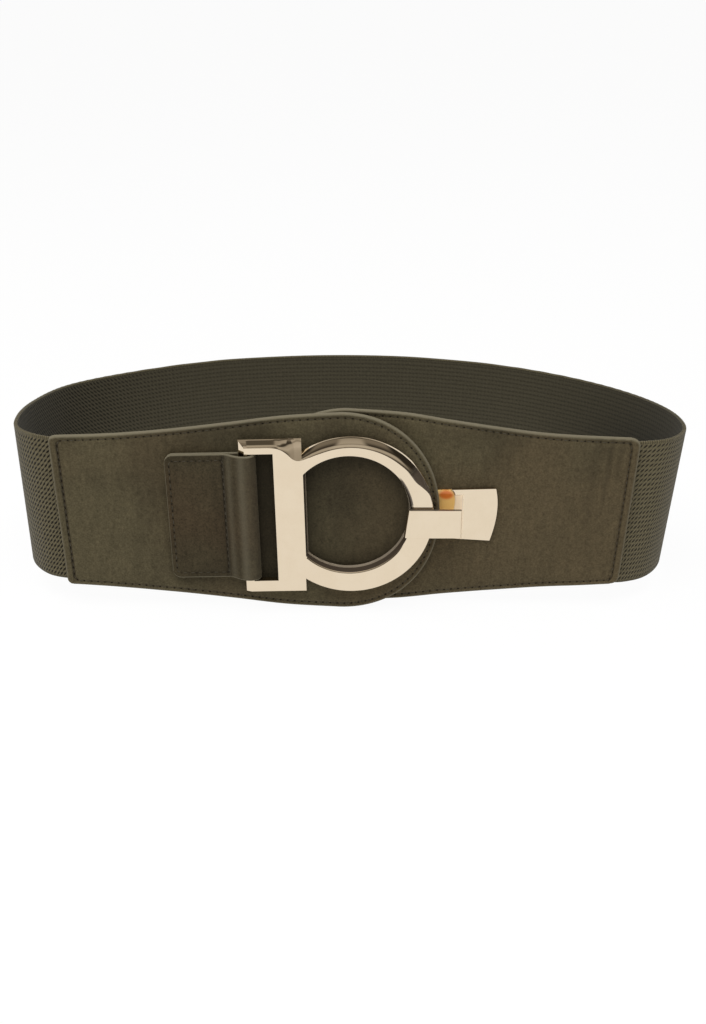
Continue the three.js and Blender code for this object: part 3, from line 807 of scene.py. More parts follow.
def makePanel(shape):
    side, end = shape["side"], shape["end"]
    stations = panelStations(shape)
    count = len(stations)
    rowShares = list(panel["rowShares"]) + list(np.linspace(panel["rowsFrom"], 0.5, panel["halfRows"]))
    shares = np.array([0.0] + rowShares[:-1] + [1 - s for s in reversed(rowShares)] + [1.0])
    rows = len(shares)
    x = stations[:, 0]
    top = np.stack([x, stations[:, 1]], 1)
    bottom = np.stack([x, -stations[:, 2]], 1)
    endEdge = bottom[0] + (top[0] - bottom[0]) * shares[1:-1, None]
    outline = np.vstack([top, bottom[-2::-1], endEdge])
    n = len(outline)
    seam = seamLine(outline, shape)

    levels = edgeLevels()
    loops = [insetLoop(outline, side, inset) for inset, depth in levels]
    flat = np.vstack(loops)
    depth = np.repeat([d for inset, d in levels], n)
    wearAndPaintedHighlight = [1.0] * (2 * panel["edgeSteps"]) + list(panel["rubbedEdge"]) + [0.0] * len(panel["faceInsets"])
    edge = np.repeat(wearAndPaintedHighlight, n)

    # the face inside the last loop, as columns from the bottom edge to the top
    inner = loops[-1]
    innerTop = inner[:count]
    innerBottom = np.vstack([inner[count:2 * count - 1][::-1], inner[count - 1:count]])
    grid = innerBottom[:, None, :] + (innerTop - innerBottom)[:, None, :] * shares[None, :, None]
    column = np.empty((count, rows), int)
    lastLoop = (len(levels) - 1) * n
    base = len(flat)
    extra = []
    for i in range(count):
        for j in range(rows):
            if j == rows - 1:
                column[i, j] = lastLoop + i
            elif j == 0:
                column[i, j] = lastLoop + (2 * count - 2 - i if i < count - 1 else count - 1)
            elif i == 0:
                column[i, j] = lastLoop + 2 * count - 1 + (j - 1)
            elif i == count - 1:
                column[i, j] = lastLoop + count - 1
            else:
                column[i, j] = base + len(extra)
                extra.append(grid[i, j])
    flat = np.vstack([flat, np.array(extra)])
    depth = np.concatenate([depth, np.zeros(len(extra))])
    edge = np.concatenate([edge, np.zeros(len(extra))])

    distance, along, length = nearestOnLine(flat, seam)
    stitches = round(length / panel["stitchPitch"])
    phase = along / length * stitches
    fromEnd = side * (flat[:, 0] - end)
    onFace = smoothStep(*panel["onFace"], depth)
    relief = seamRelief(flat, distance, phase, fromEnd)
    points = panelPoint(shape, flat[:, 0], flat[:, 1], depth - relief * onFace)

    faces = ringQuads(len(levels), n)
    for i in range(count - 1):
        for j in range(rows - 1):
            quad = [column[i, j], column[i + 1, j], column[i + 1, j + 1], column[i, j + 1]]
            face = tuple(dict.fromkeys(int(k) for k in quad))
            if len(face) > 2:
                faces.append(face)
    # the back: one tall quad for each pair of stations, and one piece at the sewn end
    for i in range(1, count - 1):
        low, nextLow = 2 * count - 2 - i, 2 * count - 3 - i
        nextLow = count - 1 if i + 1 == count - 1 else nextLow
        faces.append(tuple(dict.fromkeys((i, i + 1, nextLow, low))))
    faces.append((0, 1, 2 * count - 3, 2 * count - 2, *range(2 * count - 1, n)))
    obj = meshObject(shape["name"], points, faces, panelSuede, frontMatrix)
    faceOutwards(obj)
    writeValues(obj, "edge", edge)
    endShare = smoothStep(*panel["foldFrom"], fromEnd)
    writeValues(obj, "fold", panel["sideFold"] + (panel["endFold"] - panel["sideFold"]) * endShare)
    # painted shade: under the buckle on the left panel, along creases on the right
    writeValues(obj, "paintedShade", (paintedBuckleShade(flat) if side == 1 else paintedCreaseShade(flat)) * onFace)
    writeSeamMap(obj, phase, np.where(depth < 0.3, distance, farFromSeam), stitches)
    depths = np.array(panel["threadDepths"])
    threads = [panelPoint(shape, x, z, depths) for x, z in stitchPlaces(seam, stitches, length)]
    return obj, threads


thread = {"radius": 0.2, "sides": 8, "steps": 6, "thinnest": 0.25, "shares": (0.2, 0.5, 0.8)}


def stitchPlaces(seam, stitches, length):
    # a thread lies between each two holes, half sunk: x and z of its ends and its middle
    for k in range(stitches):
        yield alongClosed(seam, [(k + share) / stitches * length for share in thread["shares"]])


def makeThreads(name, places, matrix):
    # each stitch is a short arched roll of thread with tucked ends
    points, faces = [], []
    steps, sides = thread["steps"], thread["sides"]
    t = np.linspace(0, 1, steps + 1)
    outward = np.array([0, -1.0, 0])
    for line in places:
        start = len(points)
        pull = 2 * line[1] - 0.5 * (line[0] + line[2])
        centre = np.outer((1 - t) ** 2, line[0]) + np.outer(2 * t * (1 - t), pull) + np.outer(t**2, line[2])
        run = line[2] - line[0]
        run /= np.linalg.norm(run)
        across = np.cross(run, outward)
        across /= np.linalg.norm(across)
        for k in range(steps + 1):
            size = thread["radius"] * max(thread["thinnest"], math.sqrt(max(0, 1 - (2 * t[k] - 1) ** 4)))
            for i in range(sides):
                angle = 2 * math.pi * i / sides
                points.append(centre[k] + size * (math.cos(angle) * across + math.sin(angle) * outward))
        faces += ringQuads(steps + 1, sides, start) + endCaps(steps + 1, sides, start)
    obj = meshObject(name, points, faces, sewingThread, matrix)
    faceOutwards(obj)
    return obj


def settle(obj, slotName, *nodes):
    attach(obj, "root")
    if nodes:
        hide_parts(*nodes)


leftSuede, leftStitches = makePanel(leftPanel)
rightSuede, rightStitches = makePanel(rightPanel)
settle(leftSuede, "suede", "left_panel")
settle(rightSuede, "suede", "right_panel")
settle(makeThreads("left_panel_stitches", leftStitches, frontMatrix), "suede")
settle(makeThreads("right_panel_stitches", rightStitches, frontMatrix), "suede")
print("panels made")

# elastic band
band = {
    "width": 63, "thickness": 1.6, "tuck": 12, "tuckShares": (0, 0.5, 1), "dropLeft": 0.5, "dropRight": 2.3,
    "gap": 0.3, "steps": 460, "rows": 30, "edgeRound": 0.5, "edgeSteps": 3,
    "scallop": 0.12, "scallopPitch": 2.2, "scallopReach": 3,
    # shade inside the loop: everywhere, at both ends by the distance from them, and lower down
    "shade": 0.04, "endShade": 0.42, "leftEnd": (150, 60), "rightEnd": (170, 70), "rightShade": 1.75,
    "lowFrom": 0.55, "lowShares": (0.45, 0.55), "insideFrom": 0.6, "slantEnd": (190, 100),
}
bandStations = [  # outer face: x and y of the top edge, x and y of the bottom edge, height of the bottom edge
    (-130.5, 9.6, -128.8, 4.9, 11.3), (-138.6, 17.6, -137.1, 14.4, 11.0), (-142.6, 34, -142.6, 33, 9.3),
    (-143, 62, -143.6, 62, 5.0), (-134.2, 91.4, -134.8, 92, 1.3), (-107.4, 112.5, -107.6, 113.1, 0.16),
    (-65.8, 129.6, -65.8, 130, 0.04), (-18, 136.6, -18, 137, 0), (32, 133.8, 32, 134.2, 0.04),
    (77.4, 119.9, 77.4, 120.3, 0.16), (111.8, 97, 111.8, 97.2, 1.0), (132.3, 68.2, 131.7, 68.4, 3.6),
    (139.3, 38, 137.1, 38, 7.4), (137, 18.4, 132.4, 17, 9.0), (128.1, 8.4, 123.5, 5.6, 9.4),
]


def leanPoint(x, out, z):
    s, c = math.sin(front["lean"]), math.cos(front["lean"])
    return np.array([x, -out * c + z * s, front["centreHeight"] + z * c + out * s])


def curveThrough(rows, t):
    # the same evenly tempered curve through the stations as the part's own source uses
    rows = np.asarray(rows, float)
    last = len(rows) - 1
    padded = np.vstack([2 * rows[0] - rows[1], rows, 2 * rows[-1] - rows[-2]])
    p = last * np.asarray(t, float)
    i = np.clip(np.floor(p).astype(int), 0, last - 1)
    w = (p - i)[:, None]
    x0, x1, x2, x3 = padded[i], padded[i + 1], padded[i + 2], padded[i + 3]
    d0, d1, d2 = (((q - o) ** 2).sum(1)[:, None] ** 0.25 for o, q in ((x0, x1), (x1, x2), (x2, x3)))
    t1 = ((x1 - x0) / d0 - (x2 - x0) / (d0 + d1) + (x2 - x1) / d1) * d1
    t2 = ((x2 - x1) / d1 - (x3 - x1) / (d1 + d2) + (x3 - x2) / d2) * d1
    return x1 + t1 * w + (-3 * x1 + 3 * x2 - 2 * t1 - t2) * w**2 + (2 * x1 - 2 * x2 + t1 + t2) * w**3


def tuckRow(shape, drop, share):
    x = shape["end"] + shape["side"] * band["tuck"] * (1 - share)
    out = float(faceOut(shape, np.array([x]))[0]) - panel["thickness"] - band["gap"]
    return leanPoint(x, out, band["width"] / 2 - drop), leanPoint(x, out, -band["width"] / 2 - drop)


def bandSection():
    # height, depth and part: up the outer face, over the top edge, down the inner face, under the bottom edge
    width, thick, r = band["width"], band["thickness"], band["edgeRound"]
    up = list(np.linspace(r, width - r, band["rows"] + 1))
    quarter = np.linspace(0, math.pi / 2, band["edgeSteps"] + 1)
    section = [(v, 0.0, 0) for v in up]
    section += [(width - r + r * math.sin(a), r * (1 - math.cos(a)), 1) for a in quarter[1:]]
    section += [(width - r + r * math.cos(a), thick - r * (1 - math.sin(a)), 1) for a in quarter]
    section += [(v, thick, 2) for v in reversed(up[:-1])]
    section += [(r - r * math.sin(a), thick - r * (1 - math.cos(a)), 3) for a in quarter[1:]]
    section += [(r - r * math.cos(a), r * (1 - math.sin(a)), 3) for a in quarter[:-1]]
    return np.array(section).T


def makeBand():
    pairs = [tuckRow(leftPanel, band["dropLeft"], share) for share in band["tuckShares"]]
    for topX, topY, lowX, lowY, low in bandStations:
        pairs.append((np.array([topX, topY, low + band["width"]]), np.array([lowX, lowY, low])))
    pairs += [tuckRow(rightPanel, band["dropRight"], share) for share in reversed(band["tuckShares"])]
    t = np.linspace(0, 1, band["steps"] + 1)
    topLine, lowLine = (curveThrough([pair[k] for pair in pairs], t) for k in (0, 1))
    middle = (topLine + lowLine) / 2
    travel = arcLengths(middle)
    run = np.gradient(middle, axis=0)
    inwards = np.cross(run, topLine - lowLine)
    inwards /= np.linalg.norm(inwards, axis=1)[:, None]

    v, depth, where = bandSection()
    count, width, reach = len(v), band["width"], band["scallopReach"]
    wave = band["scallop"] * 0.5 * (np.cos(2 * math.pi * travel / band["scallopPitch"]) - 1)
    topShare = np.clip((v - width + reach) / reach, 0, 1)
    height = v[None, :] + wave[:, None] * topShare[None, :]
    points = (
        lowLine[:, None, :] + (topLine - lowLine)[:, None, :] * (height / width)[..., None]
        + inwards[:, None, :] * depth[None, :, None]
    ).reshape(-1, 3)
    points -= np.array([front["middleX"], front["middleY"], 0])
    faces = ringQuads(band["steps"] + 1, count) + endCaps(band["steps"] + 1, count)
    obj = meshObject("elastic_weave", points, faces, elasticOuter)
    mesh = obj.data
    mesh.materials.append(elasticInner)
    inner = (where == 2) | ((where == 1) & (np.roll(where, -1) == 2))
    mesh.polygons.foreach_set("material_index", [int(i) for i in inner] * band["steps"] + [0, 0])
    corner = cornerVertices(mesh)
    writeUv(obj, "weave", np.stack([travel[corner // count], v[corner % count]], 1) / mapUnit)

    # the inner face lies in the loop's own shade, most of all low down at both ends
    inside = depth > band["insideFrom"] * band["thickness"]
    leftShade = smoothStep(*band["leftEnd"], travel)
    rightShade = band["rightShade"] * smoothStep(*band["rightEnd"], travel[-1] - travel)
    ends = np.maximum(leftShade, rightShade)
    low = smoothStep(width, band["lowFrom"] * width, v)
    highShare, lowShare = band["lowShares"]
    shade = band["shade"] + band["endShade"] * ends[:, None] * (highShare + lowShare * low[None, :])
    writeValues(obj, "shade", (shade * inside[None, :]).ravel())
    # and the slanting threads show most there at the left
    writeValues(obj, "slant", np.repeat(smoothStep(*band["slantEnd"], travel), count))
    faceOutwards(obj)
    return obj, travel[-1]


bandObject, bandLength = makeBand()
settle(bandObject, "elastic", "elastic_band")
print("band made, length in mm", round(float(bandLength), 1))

# buckle
buckle = {
    "z": 0.35, "back": 2.1, "face": 5.4, "sideWall": 0.7, "left": -45.2, "right": -19.9, "halfHeight": 33.25,
    "faceSteps": 43, "chamferIn": 0.31, "chamferUp": 0.48,
    "ringX": -0.8, "ringRadius": 33.75, "ringHalfAngle": 131, "ringStep": 1.75,
    "slotLeft": -41.2, "slotRight": -31.4, "slotHalfHeight": 27.75, "slotEdge": 0.12,
    # degrees from the face: where the shoulder starts, and the most at its rim
    "firstTurn": 10, "lastTurn": 76,
    "shoulderSteps": (0, 0.02, 0.06, 0.12, 0.2, 0.28, 0.36, 0.42, 0.5, 0.58, 0.66, 0.74, 0.82, 0.9, 0.95, 1),
    "stepShare": 0.4, "stepFall": 0.12, "stepWidth": (3.4, 3.0),  # the narrow shoulder drops in two parts
    # the broad one is flat until its rim
    "broadWidth": (5, 7.5), "broadTurn": 15, "broadPower": 6, "broadDrop": 0.5,
    # degrees where the ring's shoulder dies out towards the hook, and how far the face reaches where it has
    "faceFade": (14, 32), "faceFull": 33.1, "lowEdge": 0.65,
    # painted shade in the ring's opening: how dim its wall and lip are, and how much less of a mirror its
    # wall is
    "wallDim": 0.93, "lipDim": 0.6, "wallMatt": 0.6,
    # degrees where the dying shoulder lies in the hook's shade, and where it stops being a mirror
    "wedgeFrom": (42, 36), "wedgeTo": (8, 12), "wedgeMattFrom": (40, 33), "wedgeDim": 0.92, "wedgeMatt": 0.75,
    "holeFace": (-19.6, -1.4, 0.9, 25.5),  # the ring's opening: left side, middle x and z, radius
    "holeBack": (-18.6, -1.8, 1.7, 24.6),
    "holeEdge": ((0.8, 0), (0.45, 0.06), (0, 0.24)),  # its soft edge: how far out, how deep
    "holeSteps": 121, "hold": 0.06,  # short steps beside the edges keep the wall's tone apart from the lip's
    "lipShare": 0.4, "lipDepth": 0.9,  # the lip round the back of the opening
    "over": 1.0,  # how far the cutters stand out
    "nearWall": 0.2, "nearFace": 0.03,  # reach of the masks
    "sharpAngle": 24,
}
blockFace = [  # where the flat face ends below the crest: x, z
    (-42.6, 30.4), (-37, 30.4), (-31.6, 30.3), (-28.2, 29.4), (-25.7, 27.6), (-23.7, 25.6), (-21.8, 24.7),
    (-19.9, 24.9),
]
ringFace = [  # and on the ring: degrees round from its right side, radius
    (0, 29.85), (108, 29.85), (113, 29.95), (120.5, 30.4), (126.5, 31.2), (131, 32.3),
]


def shoulderTurns(width, height):
    # the turn at the rim with which a shoulder of this width falls by this height
    first = math.radians(buckle["firstTurn"])
    turns = np.linspace(first + 0.02, math.radians(buckle["lastTurn"]), 200)
    slopes = np.log(math.cos(first) / np.cos(turns)) / (turns - first)
    return np.interp(height / width, slopes, turns)


def shoulderFall(shares, width, height, kind):
    # how far below the face each share of the shoulder lies, counted from the face
    if kind == "straight":
        return height * shares
    first = math.radians(buckle["firstTurn"])
    turn = float(shoulderTurns(width, height))
    fall = np.log(math.cos(first) / np.cos(first + (turn - first) * shares)) / (turn - first) * width
    if kind == "block":
        broad = float(smoothStep(*buckle["broadWidth"], width))
        least = math.tan(math.radians(buckle["broadTurn"])) * width
        flat = least * shares + (height - least) * shares ** buckle["broadPower"]
        fall = fall + (flat - fall) * broad
        step, low = buckle["stepShare"], buckle["stepFall"]
        parts = np.where(shares < step, low * shares / step, low + (1 - low) * (shares - step) / (1 - step))
        narrow = float(smoothStep(*buckle["stepWidth"], width))
        fall = fall + (parts * height - fall) * narrow
    return fall


def shoulderLoops(pairs, kinds):
    # pairs of outer edge x, z and face x, z; loops from the back up the wall, over the chamfer to the face
    pairs = np.asarray(pairs, float)
    outer, inner = pairs[:, :2], pairs[:, 2:]
    reach = np.linalg.norm(inner - outer, axis=1)
    cut = buckle["chamferIn"] / reach
    steps = np.array(buckle["shoulderSteps"])
    rims, falls = [], []
    for length, kind in zip(reach, kinds):
        width = length - buckle["chamferIn"]
        drop = buckle["broadDrop"] * float(smoothStep(*buckle["broadWidth"], width)) if kind == "block" else 0
        rims.append(buckle["back"] + buckle["sideWall"] - drop)
        height = buckle["face"] - rims[-1] - buckle["chamferUp"]
        falls.append(shoulderFall(steps, width, height, kind))
    rims, falls = np.array(rims), np.array(falls)
    levels = [(0 * cut, 0 * cut + buckle["back"]), (0 * cut, rims)]
    for k in range(len(steps) - 1, -1, -1):
        levels.append((cut + (1 - cut) * (1 - steps[k]), buckle["face"] - falls[:, k]))
    loops = []
    for share, out in levels:
        x, z = (outer + (inner - outer) * share[:, None]).T
        loops.append([(a, -o, buckle["z"] + b) for a, o, b in zip(x, out, z)])
    return loops


def makeBlock():
    half = buckle["halfHeight"]
    face = splineThrough(blockFace, np.linspace(0, 1, buckle["faceSteps"]))
    upper = [(buckle["left"], half, *blockFace[0])] + [(x, half, x, z) for x, z in face[1:]]
    # along the bottom the face reaches almost to the rim
    lower = [(a, -b, c, buckle["lowEdge"] - half) for a, b, c, d in reversed(upper)]
    kinds = ["straight"] + ["block"] * (len(upper) - 1) + ["straight"] * len(lower)
    return loftObject("buckle_metal", shoulderLoops(upper + lower, kinds))


def makeRing():
    turns = np.arange(buckle["ringHalfAngle"], -buckle["ringHalfAngle"] - 0.1, -buckle["ringStep"])
    rows = np.array(ringFace)
    radii = np.interp(np.abs(turns), rows[:, 0], rows[:, 1])
    radii += (buckle["faceFull"] - radii) * smoothStep(*reversed(buckle["faceFade"]), turns)
    along = np.stack([np.cos(np.radians(turns)), np.sin(np.radians(turns))], 1)
    centre = np.array([buckle["ringX"], 0])
    pairs = np.hstack([centre + buckle["ringRadius"] * along, centre + radii[:, None] * along])
    kinds = ["ring" if turn > 0 else "straight" for turn in turns]
    return loftObject("ringPart", shoulderLoops(pairs, kinds))


def slotLoop(grow, out):
    z, half = buckle["z"], buckle["slotHalfHeight"]
    low, high = z - half - grow, z + half + grow
    left, right = buckle["slotLeft"] - grow, buckle["slotRight"] + grow
    return [(x, -out, height) for x, height in ((left, low), (left, high), (right, high), (right, low))]


def holeLoop(share, grow, out):
    face, back = np.array(buckle["holeFace"]), np.array(buckle["holeBack"])
    sideX, middleX, middleZ, radius = back + (face - back) * share
    radius, sideX = radius + grow, sideX - grow
    start = math.acos((sideX - middleX) / radius)
    turns = start * (1 - 2 * np.linspace(0, 1, buckle["holeSteps"]))
    z = buckle["z"] + middleZ
    return [(middleX + radius * math.cos(a), -out, z + radius * math.sin(a)) for a in turns]


def makeBuckle():
    plate = makeBlock()
    combine(plate, [makeRing()], "UNION")

    z, back, face, over = (buckle[key] for key in ("z", "back", "face", "over"))
    soft = buckle["slotEdge"]
    slot = loftObject("slotCutter", [
        slotLoop(soft + over, face + over), slotLoop(0, face - soft), slotLoop(0, back - over),
    ])
    (wide, _), (middle, middleDeep), (_, deep) = buckle["holeEdge"]
    slope = (wide - middle) / middleDeep
    lipShare, lipOut = buckle["lipShare"], back + buckle["lipDepth"]
    lipSlope = lipShare / buckle["lipDepth"]
    wallSlope = (1 - lipShare) / (face - deep - lipOut)
    hold = buckle["hold"]
    hole = loftObject("holeCutter", [
        holeLoop(1, wide + over * slope, face + over),
        holeLoop(1, middle, face - middleDeep),
        holeLoop(1, 0, face - deep),
        holeLoop(1 - hold * wallSlope, 0, face - deep - hold),
        holeLoop(lipShare + hold * wallSlope, 0, lipOut + hold),
        holeLoop(lipShare - hold * lipSlope, 0, lipOut - hold),
        holeLoop(-over * lipSlope, 0, back - over),
    ])
    combine(plate, [slot, hole], "DIFFERENCE")
    crispEdges(plate, buckle["sharpAngle"])

    # masks: painted shade on the opening's wall and lip, and on the wedge beside the hook
    x, y, height = millimetres(plate)
    out = -y
    sideX, middleX, middleZ, radius = buckle["holeFace"]
    near = buckle["nearWall"]
    inOpening = (np.hypot(x - middleX, height - z - middleZ) < radius + near) & (x > sideX - near)
    inOpening &= out < face - deep - hold / 2
    turned = np.degrees(np.arctan2(height - z, x - buckle["ringX"]))
    rim = back + buckle["sideWall"] + buckle["chamferUp"]
    onWedge = (out < face - buckle["nearFace"]) & (out > rim + buckle["nearFace"]) & ~inOpening
    wedge = smoothStep(*buckle["wedgeFrom"], turned) * smoothStep(*buckle["wedgeTo"], turned) * onWedge
    paintedMetalShade = np.where(out > lipOut, buckle["wallDim"], buckle["lipDim"]) * inOpening
    writeValues(plate, "paintedMetalShade", np.maximum(paintedMetalShade, buckle["wedgeDim"] * wedge))
    wedgeMatt = buckle["wedgeMatt"] * wedge * smoothStep(*buckle["wedgeMattFrom"], turned)
    writeValues(plate, "matt", np.maximum(buckle["wallMatt"] * inOpening, wedgeMatt))
    dress(plate, paleGold, buckleMatrix)
    return plate


buckleObject = makeBuckle()
settle(buckleObject, "pale_gold", "buckle_ring")
print("buckle made")

# hook
hook = {
    "left": 21.55, "right": 43.8, "top": 4.1, "bottom": -8.1, "legTop": -0.8, "face": 7.3, "thickness": 1.6,
    "lipThickness": 1.0, "lipEnd": 4.6, "lipSlant": 0.13, "lipBend": 1.4, "bend": 0.6, "bendSteps": 13,
    "overlap": 0.3, "hold": 0.35,  # loops close to both edges keep their tones apart from the faces
    "plateLeft": 26, "plateRightTop": 58.1, "plateRightMiddle": 60.6, "plateRightBottom": 56.4,
    "plateZ": -1.1, "halfLeft": 10.2, "halfRight": 11.6, "plateThickness": 1.4, "plateRows": 41,
    "leftColumns": (34, 4), "stepColumns": (34.6, 12), "restColumns": 6, "endColumns": (0.5, 8),
    "outLeft": -2.0, "outRight": -0.6, "edgeSoft": 0.2, "edgeSegments": 3, "edgeAngle": 28,
    "dip": 0.5, "dipWidth": 0.3,  # the plate's left part lies a little deeper
    "leftDrop": 0.5,  # and its top edge a little lower
    # where the painted orange reflection lies on the plate
    "blushX": 38.0, "blushZ": 7.3, "blushSize": 2.6, "blushStretch": 1.5,
    "nearPlate": 0.3, "deepEdge": (0.05, -0.25), "topInside": (0.05, 1, 0.1),
    # how matt the painted reflections are and where the pale one reaches; the painted shade on the tongue's
    # top edge
    "foldMatt": 0.8, "endMatt": 1.0, "endReach": 44.6, "endTop": 7.5, "topDim": 0.85, "topMatt": 0.5,
}
dipEdge = [(41.3, -13), (41.4, 1.5), (41.65, 3.2), (41.7, 5.4), (41.3, 8.1), (40.6, 9.4), (39.8, 9.9)]  # x, z


def plateOut(x):
    share = (x - hook["plateLeft"]) / (hook["plateRightTop"] - hook["plateLeft"])
    return hook["outLeft"] + (hook["outRight"] - hook["outLeft"]) * share


def dipAt(z):
    rows = np.array(dipEdge)
    return np.interp(z, rows[:, 1], rows[:, 0])


def makePlate():
    # rows from the bottom edge to the top, columns that follow the step and the round end
    z, left, reach = hook["plateZ"], hook["plateLeft"], hook["endReach"]
    a = np.array([hook["plateRightTop"], z + hook["halfRight"]])
    b = np.array([hook["plateRightMiddle"], z + hook["halfRight"] / 6])
    c = np.array([hook["plateRightBottom"], z - hook["halfRight"]])
    half = hook["halfLeft"] + (hook["halfRight"] - hook["halfLeft"]) * 0.5
    rowShares = np.linspace(0, 1, hook["plateRows"])
    (leftTo, leftCount), (stepFrom, stepCount) = hook["leftColumns"], hook["stepColumns"]
    endStep, endCount = hook["endColumns"]
    w = hook["dipWidth"] / 2
    points = []
    for depth in (0, hook["plateThickness"]):
        for s in rowShares:
            t = 1 - s
            endX, endZ = a * (1 - t) ** 2 + 2 * b * t * (1 - t) + c * t**2
            step = float(dipAt(z + (2 * s - 1) * half))
            x = np.concatenate([
                np.linspace(left, leftTo, leftCount), np.linspace(stepFrom, step - 3 * w, stepCount),
                [step - w, step - w / 3, step + w / 3, step + w],
                np.linspace(step + 3 * w, reach, hook["restColumns"]),
                np.linspace(reach + endStep, endX, endCount),
            ])
            share = (x - left) / (endX - left)
            lowered = smoothStep(step + w, step - w, x)
            height = (z + (2 * s - 1) * hook["halfLeft"]) * (1 - share) + endZ * share
            height -= hook["leftDrop"] * s * lowered
            out = plateOut(x) - hook["dip"] * lowered
            points += [(px, depth - o, pz) for px, o, pz in zip(x, out, height)]
    columns, rows = len(x), len(rowShares)
    faces = []
    for base in (0, rows * columns):
        for i in range(rows - 1):
            for j in range(columns - 1):
                start = base + i * columns + j
                faces.append((start, start + 1, start + 1 + columns, start + columns))
    rim = list(range(columns)) + [i * columns + columns - 1 for i in range(1, rows)]
    rim += [(rows - 1) * columns + j for j in range(columns - 2, -1, -1)]
    rim += [i * columns for i in range(rows - 2, 0, -1)]
    for start, end in zip(rim, rim[1:] + rim[:1]):
        faces.append((start, end, end + rows * columns, start + rows * columns))
    plate = meshObject("hookPlate", points, faces)
    faceOutwards(plate)
    return plate


def roundedCorner(x, out, bend, start):
    turns = np.radians(start - np.linspace(0, 90, hook["bendSteps"]))
    return [(x + bend * math.cos(a), out + bend * math.sin(a)) for a in turns]


def makeTongue():
    left, right, top, bottom, face, end = (
        hook[key] for key in ("left", "right", "top", "bottom", "face", "lipEnd")
    )
    lipBend, bend, hold = hook["lipBend"], hook["bend"], hook["hold"]
    lipRight, underside = left + hook["lipThickness"], face - hook["thickness"]
    profile = [(left, end)]
    profile += roundedCorner(left + lipBend, face - lipBend, lipBend, 180)
    profile += roundedCorner(right - bend, face - bend, bend, 90)
    profile += [(right, underside), (lipRight, underside), (lipRight, end)]
    middle = (top + bottom) / 2

    def shifted(x, z):
        return x + hook["lipSlant"] * (z - middle) if x < left + 2 * lipBend else x

    heights = (bottom, bottom + hold, top - hold, top)
    return loftObject("hook_metal", [[(shifted(x, z), -out, z) for x, out in profile] for z in heights])


def makeLeg():
    right, inner = hook["right"], hook["right"] - hook["thickness"]
    foot = plateOut(right) - hook["plateThickness"] / 2
    out = hook["face"] - hook["thickness"] + hook["overlap"]
    profile = [(right, out), (right, foot), (inner, foot), (inner, out)]
    return loftObject("hookLeg", [[(x, -o, z) for x, o in profile] for z in (hook["bottom"], hook["legTop"])])


def makeHook():
    tongue = makeTongue()
    combine(tongue, [makeLeg(), makePlate()], "UNION")
    softenEdges(tongue, hook["edgeSoft"], hook["edgeSegments"], hook["edgeAngle"])

    # masks: a painted warm reflection on the plate under the tongue and a painted orange reflection on it, a
    # painted pale reflection where it faces the leg, and painted shade on the tongue's top edge
    x, y, z = millimetres(tongue)
    out, dipX = -y, dipAt(z)
    near = hook["nearPlate"]
    nearPlate = out < plateOut(x) + near
    onPlate = nearPlate & (x < dipX)
    writeValues(tongue, "deep", onPlate * smoothStep(*(dipX + step for step in hook["deepEdge"]), x))
    fromBlush = np.hypot((x - hook["blushX"]) / hook["blushStretch"], z - hook["blushZ"])
    writeValues(tongue, "orangeReflection", onPlate * smoothStep(hook["blushSize"], hook["blushSize"] * 0.5, fromBlush))
    # the plate right behind the tongue's end sees little but the leg, so a painted pale reflection is put
    # there, matt
    facingPlate = nearPlate & (x > dipX - near) & (x < hook["endReach"] + 0.1) & (z < hook["endTop"])
    matt = np.maximum(hook["foldMatt"] * onPlate, hook["endMatt"] * facingPlate)
    writeValues(tongue, "paleReflection", facingPlate.astype(float))
    # painted shade along the tongue's top edge, half matt
    below, past, under = hook["topInside"]
    onTop = (z > hook["top"] - below) & (out > hook["lipEnd"] - past) & (out < hook["face"] - under)
    writeValues(tongue, "paintedMetalShade", hook["topDim"] * onTop)
    writeValues(tongue, "matt", np.where(onTop, hook["topMatt"], matt))
    dress(tongue, paleGold, frontMatrix)
    return tongue


hookObject = makeHook()
settle(hookObject, "pale_gold", "hook")
print("hook made")

# tab
tab = {
    "left": -75, "seam": -51.2, "z": 0.6, "halfHeight": 27.2, "layer": 1.3, "back": 0.4, "cornerRadius": 3.4,
    "cornerSteps": 7, "edgeRound": 0.45, "edgePull": 0.08, "edgeSide": 0.6,  # the section's rounded edge
    "rubbedEdge": 0.7,
    "endSteps": (0, 0.3, 0.7, 1.2, 1.7, 2.1, 2.5, 3.0, 3.6, 4.2), "farFrom": 5, "farStep": 0.6,
    "loopSteps": 90, "backStart": -46, "backSteps": 22, "foldEase": (1, 2, 3, 2, 1), "easeRun": 12,
    "rowShares": (0, 0.012, 0.024, 0.038, 0.055), "rowsFrom": 0.08, "halfRows": 16,
    "sideInset": 1.8, "topInset": 2.8, "bottomInset": 2.3, "seamInset": 0.6, "stitchPitch": 3.2,
    "seamDepth": 0.3, "seamWidth": 0.75, "puff": 0.16, "puffFrom": (1.2, 6.0), "puffEnd": 1.5,
    "threadDepths": (0.46, 0.27, 0.46), "foldTone": 0.8, "foldFrom": (1.5, 0.5), "loopFrom": (-0.4, 0.8),
    # painted highlights along the loop, and painted shade lines across the tab: x, width, share
    "wearAndPaintedHighlight": [(-44.0, 1.5, 0.42), (-49.0, 1.3, 0.3), (-41, 3.0, 0.16)],
    "shaded": [(-51.3, 1.0, 0.4), (-54, 4.0, 0.16), (-46.7, 0.7, 0.14)],
    "backFrom": (-42.5, -39.5), "backShade": 0.2,
}
tabLoop = [(-51.2, 2.35), (-49.0, 3.6), (-46.6, 5.3), (-43.6, 6.6), (-40.5, 6.2), (-38.95, 3.9), (-39.7, 1.8),
           (-41.4, 1.1), (-44, 1.05)]


